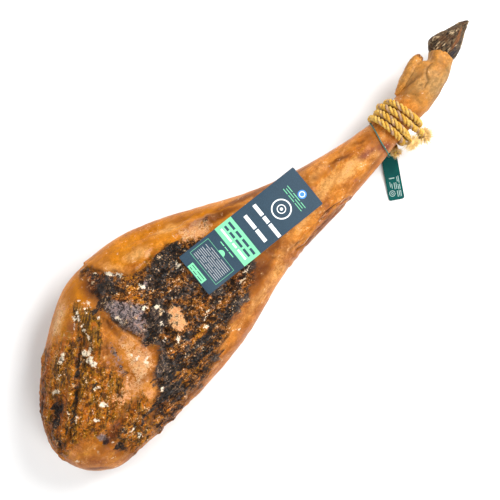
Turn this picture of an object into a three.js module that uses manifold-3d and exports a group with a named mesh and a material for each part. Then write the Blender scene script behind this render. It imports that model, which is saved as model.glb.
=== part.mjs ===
// A whole cured ham on the bone: the leg with its trotter, the rope wound round the ankle, the seal's
// string and tag, and the printed card that rests on the meat. It lies skin side down, cut face up.
// Millimetres, +Z up, +X from the butt to the hoof. The origin is the centre of the ham's box, on the
// surface that it lies on.
import * as THREE from 'three';
import { mergeVertices } from 'three/addons/utils/BufferGeometryUtils.js';
import Module from 'manifold-3d';

const wasm = await Module();
wasm.setup();

// The leg's overall sizes
const LENGTH = 840;
const WIDTH = 245;
const THICKNESS = 114;
const ANKLE = 0.775; // the narrowest place, as a share of LENGTH from the butt

// How far touching pieces stay apart
const GAP = 0.3;

// The rope, and how much further than GAP its straight steps have to stand off the ankle
const ROPE_DIAMETER = 8.6;
const ROPE_SLACK = 0.6;
const ROPE_SIDES = 10;
const ROPE_STEPS = 78;
const ROPE_PLACE = (ANKLE - 0.5) * LENGTH;
const TUFT_LENGTH = 17;
const TUFT_WIDTH = 15;

// The seal's string
const STRING_DIAMETER = 1.6;
const STRING_SIDES = 8;
const STRING_STEPS = 70;

// The seal's tag: where the string goes through it, its turn from +X and the rise of its end there
const TAG_LENGTH = 70;
const TAG_WIDTH = 23;
const TAG_THICKNESS = 1;
const TAG_CORNER = 3;
const TAG_HOLE = 4.2;
const TAG_HOLE_INSET = 6;
const TAG_HOLE_PLACE = new THREE.Vector2(213.6, -97.6);
const TAG_TURN = 53;
const TAG_RISE = 3.5;

// The card: its centre seen from above, and its turn, pitch and roll
const CARD_LENGTH = 200;
const CARD_WIDTH = 65;
const CARD_THICKNESS = 0.6;
const CARD_CORNER = 0.8;
const CARD_PLACE = new THREE.Vector2(-1, -22.6);
const CARD_TURN = -9.6;
const CARD_PITCH = 7.2;
const CARD_ROLL = -3;
const CARD_SLACK = 0.3; // beyond GAP, for the leg's flat facets

// How finely the leg and its claws are stepped, and how square their sections are
const LEG_RINGS = 54;
const LEG_SIDES = 36;
const CLAW_RINGS = 10;
const CLAW_SIDES = 14;
const SQUARENESS = 2.12;
const WIDEST_HEIGHT = 0.46;

// Stations down a leg: share of LENGTH from the butt, the -Y and +Y edges as shares of WIDTH, and the
// underside and top as shares of THICKNESS. What falls under the surface is pressed flat by the weight.
const LEG_STATIONS = [
  [0.000, -0.200, -0.090, 0.21, 0.36],
  [0.010, -0.290, -0.010, 0.10, 0.54],
  [0.030, -0.370, 0.085, 0.03, 0.69],
  [0.060, -0.440, 0.190, -0.01, 0.80],
  [0.107, -0.461, 0.310, -0.04, 0.89],
  [0.160, -0.473, 0.410, -0.06, 0.95],
  [0.220, -0.490, 0.497, -0.07, 0.99],
  [0.286, -0.494, 0.494, -0.07, 1.00],
  [0.351, -0.482, 0.445, -0.06, 0.98],
  [0.411, -0.450, 0.345, -0.03, 0.94],
  [0.470, -0.405, 0.228, 0.02, 0.88],
  [0.536, -0.388, 0.088, 0.07, 0.82],
  [0.607, -0.396, -0.028, 0.13, 0.79],
  [0.679, -0.392, -0.114, 0.20, 0.75],
  [0.738, -0.384, -0.167, 0.25, 0.71],
  [0.771, -0.376, -0.192, 0.27, 0.68],
  [0.798, -0.376, -0.196, 0.27, 0.68],
  [0.824, -0.376, -0.196, 0.27, 0.69],
  [0.857, -0.380, -0.159, 0.26, 0.72],
  [0.890, -0.359, -0.127, 0.27, 0.71],
  [0.912, -0.339, -0.163, 0.29, 0.68],
  [0.931, -0.306, -0.171, 0.33, 0.63],
  [0.943, -0.278, -0.188, 0.37, 0.58],
];

// The same for the two claws of the hoof, which grow out of the leg's end
const NEAR_CLAW = [
  [0.917, -0.204, -0.180, 0.44, 0.52],
  [0.929, -0.233, -0.143, 0.37, 0.63],
  [0.946, -0.249, -0.135, 0.33, 0.65],
  [0.967, -0.241, -0.151, 0.33, 0.60],
  [0.986, -0.224, -0.176, 0.36, 0.52],
  [1.000, -0.208, -0.196, 0.42, 0.46],
];
const FAR_CLAW = [
  [0.919, -0.269, -0.245, 0.35, 0.44],
  [0.933, -0.286, -0.220, 0.28, 0.54],
  [0.950, -0.290, -0.212, 0.27, 0.54],
  [0.970, -0.273, -0.208, 0.28, 0.51],
  [0.988, -0.241, -0.200, 0.33, 0.47],
  [0.999, -0.216, -0.204, 0.39, 0.44],
];

// The rope's turns round the ankle: [turns, place along the ankle from ROPE_PLACE]. Whole turns are on
// the +Y side, quarters on top and halves on the -Y side. The last turn crosses the one before it
// underneath, which locks the winding.
const ROPE_TURNS = [
  [-0.36, -4], [-0.25, -3.6], [0, -2], [0.25, 0], [0.5, 2],
  [0.75, 5], [1, 9], [1.25, 10.7], [1.5, 12.4],
  [1.75, 20], [2, 28.4], [2.25, 33], [2.5, 36.6],
  [2.75, 30], [3, 18.8], [3.25, 22.4], [3.4, 24.6],
];
const CROSSING = 2.82;
const CROSSING_WIDTH = 0.16;

// The rope's frayed tails: [along from ROPE_PLACE, out from the ankle's -Y edge, height above its waist]
const FIRST_TAIL = [
  [-14, 10.4, -13.5],
  [-8, 4.9, -18],
];
const LAST_TAIL = [
  [28, 7.9, 7],
  [31, 14.9, -3],
  [32.5, 20.4, -12],
];

// The string's route: out from beside the rope on the ankle's +Y side, over the ankle, down to the
// tag, through its hole and under its end, and back up beside the rope under the ankle
const STRING_ROUTE = [
  [221.6, -45.4, 59.5],
  [221.2, -45.8, 63.8],
  [219.8, -48.2, 69.4],
  [217.6, -53.0, 74.8],
  [214.6, -60.0, 79.4],
  [211.4, -68.0, 81.2],
  [208.6, -76.2, 80.3],
  [206.8, -85.0, 76.2],
  [206.0, -92.0, 68.2],
  [206.4, -95.2, 57.0],
  [208.0, -96.0, 46.0],
  [210.4, -96.8, 35.0],
  [212.4, -97.4, 24.0],
  [213.4, -97.8, 13.0],
  [213.5, -98.1, 6.0],
  [214.1, -97.3, 2.5],
  [216.1, -94.7, 1.0],
  [218.1, -92.1, 2.5],
  [218.9, -91.1, 6.0],
  [219.6, -89.9, 13.0],
  [220.6, -87.0, 20.0],
  [221.4, -82.0, 25.6],
  [221.7, -76.4, 28.2],
];

const skin = new THREE.MeshStandardMaterial({ color: 0xb4672a, roughness: 0.45, metalness: 0 });
const hemp = new THREE.MeshStandardMaterial({ color: 0xc9a24a, roughness: 0.9, metalness: 0 });
const greenCord = new THREE.MeshStandardMaterial({ color: 0x1d5c50, roughness: 0.6, metalness: 0 });
const greenPlastic = new THREE.MeshStandardMaterial({ color: 0x0c5a52, roughness: 0.4, metalness: 0 });
const slateCard = new THREE.MeshStandardMaterial({ color: 0x34485a, roughness: 0.5, metalness: 0 });

// A smooth run through stations, as box(t): x, edges in Y and heights, for t from 0 to 1
function makeRun(stations) {
  const across = stations.map(([x, right, left]) =>
    new THREE.Vector3((x - 0.5) * LENGTH, right * WIDTH, left * WIDTH));
  const upright = stations.map(([x, , , low, high]) =>
    new THREE.Vector3((x - 0.5) * LENGTH, low * THICKNESS, high * THICKNESS));
  const plan = new THREE.CatmullRomCurve3(across, false, 'catmullrom', 0.5);
  const side = new THREE.CatmullRomCurve3(upright, false, 'catmullrom', 0.5);
  return (t) => {
    const { x, y: right, z: left } = plan.getPoint(t);
    const { y: low, z: high } = side.getPoint(t);
    return {
      x,
      middle: (right + left) / 2,
      half: (left - right) / 2,
      waist: low + (high - low) * WIDEST_HEIGHT,
      below: (high - low) * WIDEST_HEIGHT,
      above: (high - low) * (1 - WIDEST_HEIGHT),
    };
  };
}

// The point of a section at an angle from +Y over the top, never under the surface
function onSection(section, angle) {
  const power = 2 / SQUARENESS;
  const round = (value) => Math.sign(value) * Math.abs(value) ** power;
  const reach = Math.sin(angle) > 0 ? section.above : section.below;
  const y = section.middle + section.half * round(Math.cos(angle));
  const z = section.waist + reach * round(Math.sin(angle));
  return new THREE.Vector3(section.x, y, Math.max(z, 0));
}

// A closed skin of rings through a run, with flat ends
function loft(stations, rings, sides) {
  const run = makeRun(stations);
  const points = [];
  const faces = [];
  for (let ring = 0; ring <= rings; ring += 1) {
    const section = run(ring / rings);
    for (let side = 0; side < sides; side += 1) {
      points.push(...onSection(section, (side / sides) * Math.PI * 2).toArray());
    }
  }
  for (let ring = 0; ring < rings; ring += 1) {
    for (let side = 0; side < sides; side += 1) {
      const here = ring * sides + side;
      const next = ring * sides + ((side + 1) % sides);
      faces.push(here, next, next + sides, here, next + sides, here + sides);
    }
  }
  for (let side = 1; side < sides - 1; side += 1) {
    const end = rings * sides;
    faces.push(0, side + 1, side, end, end + side, end + side + 1);
  }
  const geometry = new THREE.BufferGeometry();
  geometry.setAttribute('position', new THREE.Float32BufferAttribute(points, 3));
  geometry.setIndex(faces);
  return geometry;
}

function toSolid(geometry) {
  const bare = geometry.clone();
  bare.deleteAttribute('normal');
  bare.deleteAttribute('uv');
  const merged = mergeVertices(bare);
  return new wasm.Manifold(new wasm.Mesh({
    numProp: 3,
    vertProperties: new Float32Array(merged.attributes.position.array),
    triVerts: new Uint32Array(merged.index.array),
  }));
}

function toGeometry(solid) {
  const mesh = solid.getMesh();
  const geometry = new THREE.BufferGeometry();
  geometry.setAttribute('position', new THREE.Float32BufferAttribute(mesh.vertProperties, 3));
  geometry.setIndex(Array.from(mesh.triVerts));
  return geometry;
}

// The leg's section at a place along X
function legSection(x) {
  const run = makeRun(LEG_STATIONS);
  let low = 0;
  let high = 1;
  for (let step = 0; step < 30; step += 1) {
    const t = (low + high) / 2;
    if (run(t).x < x) {
      low = t;
    } else {
      high = t;
    }
  }
  return run(low);
}

// The height of the leg's top at a point seen from above, or the surface it lies on beside the leg
function legTop(x, y) {
  const section = legSection(x);
  const share = Math.abs(y - section.middle) / section.half;
  return share < 1 ? section.waist + section.above * (1 - share ** SQUARENESS) ** (1 / SQUARENESS) : 0;
}

function makeLeg() {
  const body = toSolid(loft(LEG_STATIONS, LEG_RINGS, LEG_SIDES));
  const near = toSolid(loft(NEAR_CLAW, CLAW_RINGS, CLAW_SIDES));
  const far = toSolid(loft(FAR_CLAW, CLAW_RINGS, CLAW_SIDES));
  return toGeometry(body.add(near).add(far));
}

// A round section swept along smooth points
function sweep(points, diameter, sides, steps) {
  const section = new THREE.Shape();
  for (let side = 0; side < sides; side += 1) {
    const angle = (side / sides) * Math.PI * 2;
    const [u, v] = [Math.cos(angle) * diameter / 2, Math.sin(angle) * diameter / 2];
    if (side === 0) {
      section.moveTo(u, v);
    } else {
      section.lineTo(u, v);
    }
  }
  section.closePath();
  const path = new THREE.CatmullRomCurve3(points, false, 'centripetal');
  path.arcLengthDivisions = steps * 8;
  return new THREE.ExtrudeGeometry(section, { steps, bevelEnabled: false, extrudePath: path });
}

// The rope's centre line at a number of turns, on the ankle or over the turn that it crosses
function ropeTurn(turns, along) {
  const section = legSection(ROPE_PLACE + along);
  const crossing = Math.exp(-(((turns - CROSSING) / CROSSING_WIDTH) ** 2));
  const standoff = ROPE_DIAMETER / 2 + GAP + ROPE_SLACK + (ROPE_DIAMETER + GAP + ROPE_SLACK) * crossing;
  const angle = turns * Math.PI * 2;
  const base = onSection(section, angle);
  const out = new THREE.Vector3(0, Math.cos(angle), Math.sin(angle));
  return base.addScaledVector(out, standoff);
}

function tailPoints(tail) {
  const { middle, half, waist } = legSection(ROPE_PLACE);
  return tail.map(([along, out, height]) =>
    new THREE.Vector3(ROPE_PLACE + along, middle - half - out, waist + height));
}

// The tuft of loose fibres at an end of the rope, drawn out along the rope's last direction
function makeTuft(end, before) {
  const tuft = new THREE.SphereGeometry(TUFT_WIDTH / 2, 12, 8);
  tuft.scale(1, TUFT_LENGTH / TUFT_WIDTH, 1);
  const way = new THREE.Vector3().subVectors(end, before).normalize();
  tuft.applyQuaternion(new THREE.Quaternion().setFromUnitVectors(new THREE.Vector3(0, 1, 0), way));
  tuft.translate(end.x, end.y, end.z);
  return toSolid(tuft);
}

function makeRope() {
  const turnCurve = new THREE.CatmullRomCurve3(ROPE_TURNS.map(([t, x]) => new THREE.Vector3(t, x, 0)));
  const winding = [];
  const [first, last] = [ROPE_TURNS[0][0], ROPE_TURNS.at(-1)[0]];
  for (let turns = first; turns <= last; turns += 1 / 20) {
    let low = 0;
    let high = 1;
    for (let step = 0; step < 20; step += 1) {
      const t = (low + high) / 2;
      if (turnCurve.getPoint(t).x < turns) {
        low = t;
      } else {
        high = t;
      }
    }
    winding.push(ropeTurn(turns, turnCurve.getPoint(low).y));
  }
  const points = [...tailPoints(FIRST_TAIL), ...winding, ...tailPoints(LAST_TAIL)];
  const rope = toSolid(sweep(points, ROPE_DIAMETER, ROPE_SIDES, ROPE_STEPS));
  const tufts = makeTuft(points[0], points[1]).add(makeTuft(points.at(-1), points.at(-2)));
  return toGeometry(rope.add(tufts));
}

function makeString() {
  const points = STRING_ROUTE.map((point) => new THREE.Vector3(...point));
  return sweep(points, STRING_DIAMETER, STRING_SIDES, STRING_STEPS);
}

// A flat plate with round corners, lying in XY from x = 0 along +X, centred on Y, its underside at 0
function makePlate(length, width, thickness, corner, holeAt, hole) {
  const half = width / 2;
  const plate = new THREE.Shape();
  plate.moveTo(corner, -half);
  plate.lineTo(length - corner, -half);
  plate.absarc(length - corner, corner - half, corner, -Math.PI / 2, 0);
  plate.lineTo(length, half - corner);
  plate.absarc(length - corner, half - corner, corner, 0, Math.PI / 2);
  plate.lineTo(corner, half);
  plate.absarc(corner, half - corner, corner, Math.PI / 2, Math.PI);
  plate.lineTo(0, corner - half);
  plate.absarc(corner, corner - half, corner, Math.PI, Math.PI * 1.5);
  if (hole) {
    const path = new THREE.Path();
    path.absarc(holeAt, 0, hole / 2, 0, Math.PI * 2, true);
    plate.holes.push(path);
  }
  return new THREE.ExtrudeGeometry(plate, { depth: thickness, bevelEnabled: false, curveSegments: 6 });
}

function makeTag() {
  return makePlate(TAG_LENGTH, TAG_WIDTH, TAG_THICKNESS, TAG_CORNER, TAG_LENGTH - TAG_HOLE_INSET, TAG_HOLE);
}

// Lays the tag with its low end on the surface and its hole where the string goes through
function layTag(tag) {
  const { degToRad } = THREE.MathUtils;
  const reach = (TAG_LENGTH - TAG_HOLE_INSET) * Math.cos(degToRad(TAG_RISE));
  const turn = degToRad(TAG_TURN);
  tag.rotation.set(0, degToRad(-TAG_RISE), turn, 'ZYX');
  tag.position.set(TAG_HOLE_PLACE.x - reach * Math.cos(turn), TAG_HOLE_PLACE.y - reach * Math.sin(turn), 0);
}

function makeCard() {
  const card = makePlate(CARD_LENGTH, CARD_WIDTH, CARD_THICKNESS, CARD_CORNER);
  card.translate(-CARD_LENGTH / 2, 0, 0);
  return card;
}

// Lowers the card onto the leg: it stops where its underside first comes within GAP of the meat
function restCard(card) {
  const { degToRad } = THREE.MathUtils;
  card.rotation.set(degToRad(CARD_ROLL), degToRad(CARD_PITCH), degToRad(CARD_TURN), 'ZYX');
  card.position.set(CARD_PLACE.x, CARD_PLACE.y, 0);
  card.updateMatrixWorld();
  let lift = 0;
  for (let u = -0.5; u <= 0.5; u += 1 / 40) {
    for (let v = -0.5; v <= 0.5; v += 1 / 16) {
      const under = new THREE.Vector3(u * CARD_LENGTH, v * CARD_WIDTH, 0).applyMatrix4(card.matrixWorld);
      lift = Math.max(lift, legTop(under.x, under.y) - under.z);
    }
  }
  card.position.z = lift + GAP + CARD_SLACK;
}

function named(name, geometry, material) {
  const mesh = new THREE.Mesh(geometry, material);
  mesh.name = name;
  return mesh;
}

const ham = new THREE.Group();
ham.add(named('leg', makeLeg(), skin));

const binding = new THREE.Group();
binding.add(named('rope', makeRope(), hemp));
binding.add(named('tag_string', makeString(), greenCord));
ham.add(binding);

const tag = named('tag', makeTag(), greenPlastic);
layTag(tag);
ham.add(tag);

const card = named('label_card', makeCard(), slateCard);
restCard(card);
ham.add(card);

export default ham;
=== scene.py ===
"""The looks of a whole cured ham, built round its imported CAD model.

Metres in Blender, millimetres in the tables below. +X runs from the butt to the hoof, +Z up out of the cut face.
"""
import itertools
import math

import bpy
import numpy as np
from mathutils import Matrix, Vector
from mathutils.bvhtree import BVHTree


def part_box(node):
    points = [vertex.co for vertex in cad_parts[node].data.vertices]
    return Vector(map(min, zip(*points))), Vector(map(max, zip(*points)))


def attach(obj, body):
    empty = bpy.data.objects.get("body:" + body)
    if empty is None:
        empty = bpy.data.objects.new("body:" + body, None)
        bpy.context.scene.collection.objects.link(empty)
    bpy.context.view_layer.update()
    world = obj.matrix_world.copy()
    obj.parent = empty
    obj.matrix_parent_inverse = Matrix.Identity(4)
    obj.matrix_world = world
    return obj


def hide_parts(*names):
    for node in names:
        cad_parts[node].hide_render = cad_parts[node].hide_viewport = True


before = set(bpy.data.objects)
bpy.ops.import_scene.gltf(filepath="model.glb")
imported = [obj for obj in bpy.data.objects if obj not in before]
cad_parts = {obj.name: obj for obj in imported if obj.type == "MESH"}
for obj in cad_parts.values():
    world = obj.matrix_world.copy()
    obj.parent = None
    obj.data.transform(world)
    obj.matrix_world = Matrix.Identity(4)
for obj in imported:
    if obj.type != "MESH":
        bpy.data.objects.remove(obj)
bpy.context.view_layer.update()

MM = 0.001
LEG_LOW, LEG_HIGH = (np.array(corner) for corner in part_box("leg"))
ROPE_LOW, ROPE_HIGH = (np.array(corner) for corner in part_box("rope"))

# ---------------------------------------------------------------- camera

VIEW_CENTRE = Vector((-22, -39, 57)) * MM
VIEW_DISTANCE = 1.493
VIEW_WIDTH = 0.700
VIEW_TURN = -48


def make_camera():
    """Straight above the ham, turned so that the hoof points up to the right."""
    data = bpy.data.cameras.new("camera")
    data.lens = data.sensor_width * VIEW_DISTANCE / VIEW_WIDTH
    camera = bpy.data.objects.new("camera", data)
    camera.location = VIEW_CENTRE + Vector((0, 0, VIEW_DISTANCE))
    camera.rotation_euler = (0, 0, math.radians(VIEW_TURN))
    bpy.context.collection.objects.link(camera)
    bpy.context.scene.camera = camera


# ---------------------------------------------------------------- numbers


def smoothstep(low, high, value):
    share = np.clip((value - low) / (high - low), 0, 1)
    return share * share * (3 - 2 * share)


SHUFFLE = np.random.RandomState(11).permutation(256)
SLOPES = np.random.RandomState(12).normal(size=(256, 3))
SLOPES /= np.linalg.norm(SLOPES, axis=1, keepdims=True)


def gradient_noise(points, seed):
    """Smooth noise about -1 to 1 with a grain of 1."""
    cells = np.floor(points).astype(int)
    inside = points - cells
    fade = inside**3 * (inside * (inside * 6 - 15) + 10)
    total = np.zeros(len(points))
    for corner in itertools.product((0, 1), repeat=3):
        corner = np.array(corner)
        x, y, z = (cells + corner).T
        pick = SHUFFLE[(x + SHUFFLE[(y + SHUFFLE[(z + seed) % 256]) % 256]) % 256]
        weight = np.prod(np.where(corner, fade, 1 - fade), axis=1)
        total += weight * ((inside - corner) * SLOPES[pick]).sum(1)
    return total * 1.6


def noise(points, size, seed, octaves=1):
    """Fractal noise on points in mm, with its largest grain that size."""
    total = np.zeros(len(points))
    for octave in range(octaves):
        total += gradient_noise(points / size * 2**octave, seed + 31 * octave) / 2**octave
    return total


def blur(grid, width, axis, wrap):
    """Gaussian blur of a grid along one axis, width in samples."""
    reach = int(width * 3)
    weights = np.exp(-0.5 * (np.arange(-reach, reach + 1) / width) ** 2)
    weights /= weights.sum()
    pad = [(0, 0)] * grid.ndim
    pad[axis] = (reach, reach)
    padded = np.pad(grid, pad, mode="wrap" if wrap else "edge")
    if not wrap:
        # mirrored through the end point, so that the ends stay where they are
        first, last = np.take(grid, [0], axis), np.take(grid, [-1], axis)
        before = 2 * first - np.flip(np.take(grid, range(1, reach + 1), axis), axis)
        after = 2 * last - np.flip(np.take(grid, range(-reach - 1, -1), axis), axis)
        padded = np.concatenate([before, grid, after], axis)
    count = grid.shape[axis]
    return sum(w * np.take(padded, range(k, k + count), axis) for k, w in enumerate(weights))


def line_distance(x, y, line):
    """Distance from points to a polyline, and which side they are on (1 on its left)."""
    best = np.full(len(x), 1e9)
    side = np.ones(len(x))
    for (ax, ay), (bx, by) in zip(line, line[1:]):
        dx, dy = bx - ax, by - ay
        share = np.clip(((x - ax) * dx + (y - ay) * dy) / (dx * dx + dy * dy), 0, 1)
        away = np.hypot(x - ax - share * dx, y - ay - share * dy)
        cross = dx * (y - ay) - dy * (x - ax)
        nearer = away < best
        best = np.where(nearer, away, best)
        side = np.where(nearer, np.sign(cross), side)
    return best, side


def within(x, y, outline, soft):
    """1 inside a closed outline, 0 outside, over a soft edge that is that wide."""
    closed = outline + outline[:1]
    away, _ = line_distance(x, y, closed)
    inside = np.zeros(len(x), bool)
    for (ax, ay), (bx, by) in zip(closed, closed[1:]):
        if ay != by:
            crosses = ((ay > y) != (by > y)) & (x < (bx - ax) * (y - ay) / (by - ay) + ax)
            inside ^= crosses
    return smoothstep(-soft, soft, np.where(inside, away, -away))


def patches(x, y, table):
    """The strongest of some soft ovals: [x, y, half length, half width, turn in degrees, strength]."""
    total = np.zeros(len(x))
    for px, py, long, wide, turn, strength in table:
        c, s = math.cos(math.radians(turn)), math.sin(math.radians(turn))
        along = ((x - px) * c + (y - py) * s) / long
        across = (-(x - px) * s + (y - py) * c) / wide
        total = np.maximum(total, strength * np.exp(-((along**2 + across**2) ** 1.3)))
    return total


def smooth_path(points, steps):
    """Points spaced evenly along a centripetal Catmull-Rom curve through the given ones."""
    points = np.asarray(points, float)
    ends = [2 * points[0] - points[1], *points, 2 * points[-1] - points[-2]]
    fine = []
    for a, b, c, d in zip(ends, ends[1:], ends[2:], ends[3:]):
        t1 = np.linalg.norm(b - a) ** 0.5
        t2 = t1 + np.linalg.norm(c - b) ** 0.5
        t3 = t2 + np.linalg.norm(d - c) ** 0.5
        for t in np.linspace(t1, t2, 12, endpoint=False):
            ab = a + (b - a) * t / t1
            bc = b + (c - b) * (t - t1) / (t2 - t1)
            cd = c + (d - c) * (t - t2) / (t3 - t2)
            abc = ab + (bc - ab) * t / t2
            bcd = bc + (cd - bc) * (t - t1) / (t3 - t1)
            fine.append(abc + (bcd - abc) * (t - t1) / (t2 - t1))
    fine = np.array([*fine, points[-1]])
    run = np.concatenate([[0], np.cumsum(np.linalg.norm(np.diff(fine, axis=0), axis=1))])
    places = np.linspace(0, run[-1], steps + 1)
    return np.stack([np.interp(places, run, fine[:, k]) for k in range(3)], 1), run[-1]


def frames_along(path):
    """Two directions across a path at each point, which turn as little as they can."""
    ahead = np.gradient(path, axis=0)
    ahead /= np.linalg.norm(ahead, axis=1, keepdims=True)
    side = np.cross(ahead[0], [0.0, 0.3, 1.0])
    sides = []
    for way in ahead:
        side = side - way * (side @ way)
        side /= np.linalg.norm(side)
        sides.append(side)
    sides = np.array(sides)
    return sides, np.cross(ahead, sides)


# ---------------------------------------------------------------- meshes


def make_mesh(name, points, faces, material, smooth=True):
    """A mesh object in the collection, its points in metres."""
    mesh = bpy.data.meshes.new(name)
    mesh.from_pydata(np.asarray(points).tolist(), [], faces)
    mesh.validate()
    mesh.polygons.foreach_set("use_smooth", [smooth] * len(mesh.polygons))
    mesh.materials.append(material)
    piece = bpy.data.objects.new(name, mesh)
    bpy.context.collection.objects.link(piece)
    return piece


def ring_faces(rings, sides, start=0, caps=True):
    """Quads between rings of points, with a fan of triangles over each end."""
    faces = []
    for ring in range(rings - 1):
        for side in range(sides):
            a = start + ring * sides + side
            b = start + ring * sides + (side + 1) % sides
            faces.append((a, b, b + sides, a + sides))
    if caps:
        last = start + (rings - 1) * sides
        faces.append(tuple(start + side for side in reversed(range(sides))))
        faces.append(tuple(last + side for side in range(sides)))
    return faces


def set_attribute(piece, name, kind, values):
    attribute = piece.data.attributes.new(name, kind, "POINT")
    field = {"FLOAT": "value", "FLOAT_COLOR": "color", "FLOAT_VECTOR": "vector"}[kind]
    attribute.data.foreach_set(field, np.ascontiguousarray(values, np.float32).ravel())


def stand_for(piece, node):
    """The piece rides on the one body, and stands for that CAD node."""
    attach(piece, "root")
    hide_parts(node)
    return piece


def cad_mesh(node):
    """A CAD node's points and triangles."""
    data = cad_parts[node].data
    points = np.empty(len(data.vertices) * 3)
    data.vertices.foreach_get("co", points)
    data.calc_loop_triangles()
    faces = np.empty(len(data.loop_triangles) * 3, int)
    data.loop_triangles.foreach_get("vertices", faces)
    return points.reshape(-1, 3), faces.reshape(-1, 3)


# ---------------------------------------------------------------- materials


class Shader:
    """A node material, with short calls for the nodes that it needs."""

    def __init__(self, name):
        self.material = bpy.data.materials.new(name)
        self.material.use_nodes = True
        self.nodes = self.material.node_tree.nodes
        self.links = self.material.node_tree.links
        self.surface = self.nodes["Principled BSDF"]

    def feed(self, socket, value):
        if isinstance(value, bpy.types.NodeSocket):
            self.links.new(value, socket)
        elif isinstance(value, (tuple, list)) and len(value) == 3 and socket.type == "RGBA":
            socket.default_value = (*value, 1)
        else:
            socket.default_value = value

    def place(self):
        return self.nodes.new("ShaderNodeTexCoord").outputs["Object"]

    def attribute(self, name, output="Color"):
        node = self.nodes.new("ShaderNodeAttribute")
        node.attribute_name = name
        return node.outputs[output]

    def split(self, colour):
        node = self.nodes.new("ShaderNodeSeparateColor")
        self.feed(node.inputs[0], colour)
        return node.outputs[:3]

    def split_place(self, vector):
        node = self.nodes.new("ShaderNodeSeparateXYZ")
        self.feed(node.inputs[0], vector)
        return node.outputs[:3]

    def turned(self, vector, turn, scale):
        """Coordinates turned about Z by some degrees, then scaled."""
        node = self.nodes.new("ShaderNodeMapping")
        node.vector_type = "TEXTURE"
        self.feed(node.inputs["Vector"], vector)
        node.inputs["Rotation"].default_value = (0, 0, math.radians(turn))
        node.inputs["Scale"].default_value = scale
        return node.outputs[0]

    def noise(self, vector, scale, detail=4, rough=0.55, bend=0.0):
        node = self.nodes.new("ShaderNodeTexNoise")
        self.feed(node.inputs["Vector"], vector)
        node.inputs["Scale"].default_value = scale
        node.inputs["Detail"].default_value = detail
        node.inputs["Roughness"].default_value = rough
        node.inputs["Distortion"].default_value = bend
        return node.outputs[0]

    def cells(self, vector, scale, feature="F1", output="Distance"):
        node = self.nodes.new("ShaderNodeTexVoronoi")
        node.feature = feature
        self.feed(node.inputs["Vector"], vector)
        node.inputs["Scale"].default_value = scale
        return node.outputs[output]

    def math(self, operation, a, b=0.5, clamp=False):
        node = self.nodes.new("ShaderNodeMath")
        node.operation = operation
        node.use_clamp = clamp
        self.feed(node.inputs[0], a)
        self.feed(node.inputs[1], b)
        return node.outputs[0]

    def rise(self, value, low, high):
        """0 below low, 1 above high, smooth between."""
        node = self.nodes.new("ShaderNodeMapRange")
        node.interpolation_type = "SMOOTHSTEP"
        self.feed(node.inputs["Value"], value)
        node.inputs["From Min"].default_value = low
        node.inputs["From Max"].default_value = high
        return node.outputs[0]

    def ramp(self, value, stops):
        """A colour ramp through (place, colour) stops."""
        node = self.nodes.new("ShaderNodeValToRGB")
        self.feed(node.inputs[0], value)
        elements = node.color_ramp.elements
        for place, _ in stops[2:]:
            elements.new(place)
        for element, (place, colour) in zip(elements, stops):
            element.position = place
            element.color = (*colour, 1)
        return node.outputs[0]

    def mix(self, share, a, b, blend="MIX"):
        node = self.nodes.new("ShaderNodeMix")
        node.data_type = "RGBA"
        node.blend_type = blend
        self.feed(node.inputs["Factor"], share)
        self.feed(node.inputs[6], a)
        self.feed(node.inputs[7], b)
        return node.outputs[2]

    def blend(self, share, a, b):
        """The same for numbers."""
        node = self.nodes.new("ShaderNodeMix")
        self.feed(node.inputs[0], share)
        self.feed(node.inputs[2], a)
        self.feed(node.inputs[3], b)
        return node.outputs[0]

    def bump(self, height, distance, strength=1.0, normal=None):
        node = self.nodes.new("ShaderNodeBump")
        self.feed(node.inputs["Height"], height)
        node.inputs["Distance"].default_value = distance
        node.inputs["Strength"].default_value = strength
        if normal is not None:
            self.feed(node.inputs["Normal"], normal)
        return node.outputs[0]

    def finish(self, **inputs):
        """Feeds the surface's own sockets, named with _ for each space."""
        for name, value in inputs.items():
            self.feed(self.surface.inputs[name.replace("_", " ")], value)  # such as Base_Color
        return self.material

# ---------------------------------------------------------------- the leg's smooth form

LEG_RINGS = 430
LEG_SIDES = 226
DOME_PLACE = -335
DOME_SHARE = 0.15
STUMP_PLACE = 364
TOP_BIAS = 0.3
FORM_BLUR = 9


class CadSkin:
    """Looks up the CAD leg's surface, in mm."""

    def __init__(self):
        self.points, self.faces = cad_mesh("leg")
        self.points = self.points / MM
        self.tree = BVHTree.FromPolygons(self.points.tolist(), self.faces.tolist())

    def section(self, x):
        """Middle and half size of the section at a place along X, as (y, z, half y, half z)."""
        cut = []
        for a, b in ((0, 1), (1, 2), (2, 0)):
            p, q = self.points[self.faces[:, a]], self.points[self.faces[:, b]]
            cross = (p[:, 0] - x) * (q[:, 0] - x) < 0
            p, q = p[cross], q[cross]
            share = ((x - p[:, 0]) / (q[:, 0] - p[:, 0]))[:, None]
            cut.append(p + (q - p) * share)
        cut = np.concatenate(cut)[:, 1:]
        low, high = cut.min(0), cut.max(0)
        return np.concatenate([(low + high) / 2, (high - low) / 2])

    def outermost(self, middle, way):
        """The furthest point of the surface from a point inside, that way."""
        start = Vector(middle + way * 400)
        return np.array(self.tree.ray_cast(start, Vector(-way))[0])

    def height(self, x, y):
        """The top of the leg at a point seen from above."""
        hit = self.tree.ray_cast(Vector((x, y, 400)), Vector((0, 0, -1)))[0]
        return hit.z if hit else 0


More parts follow.
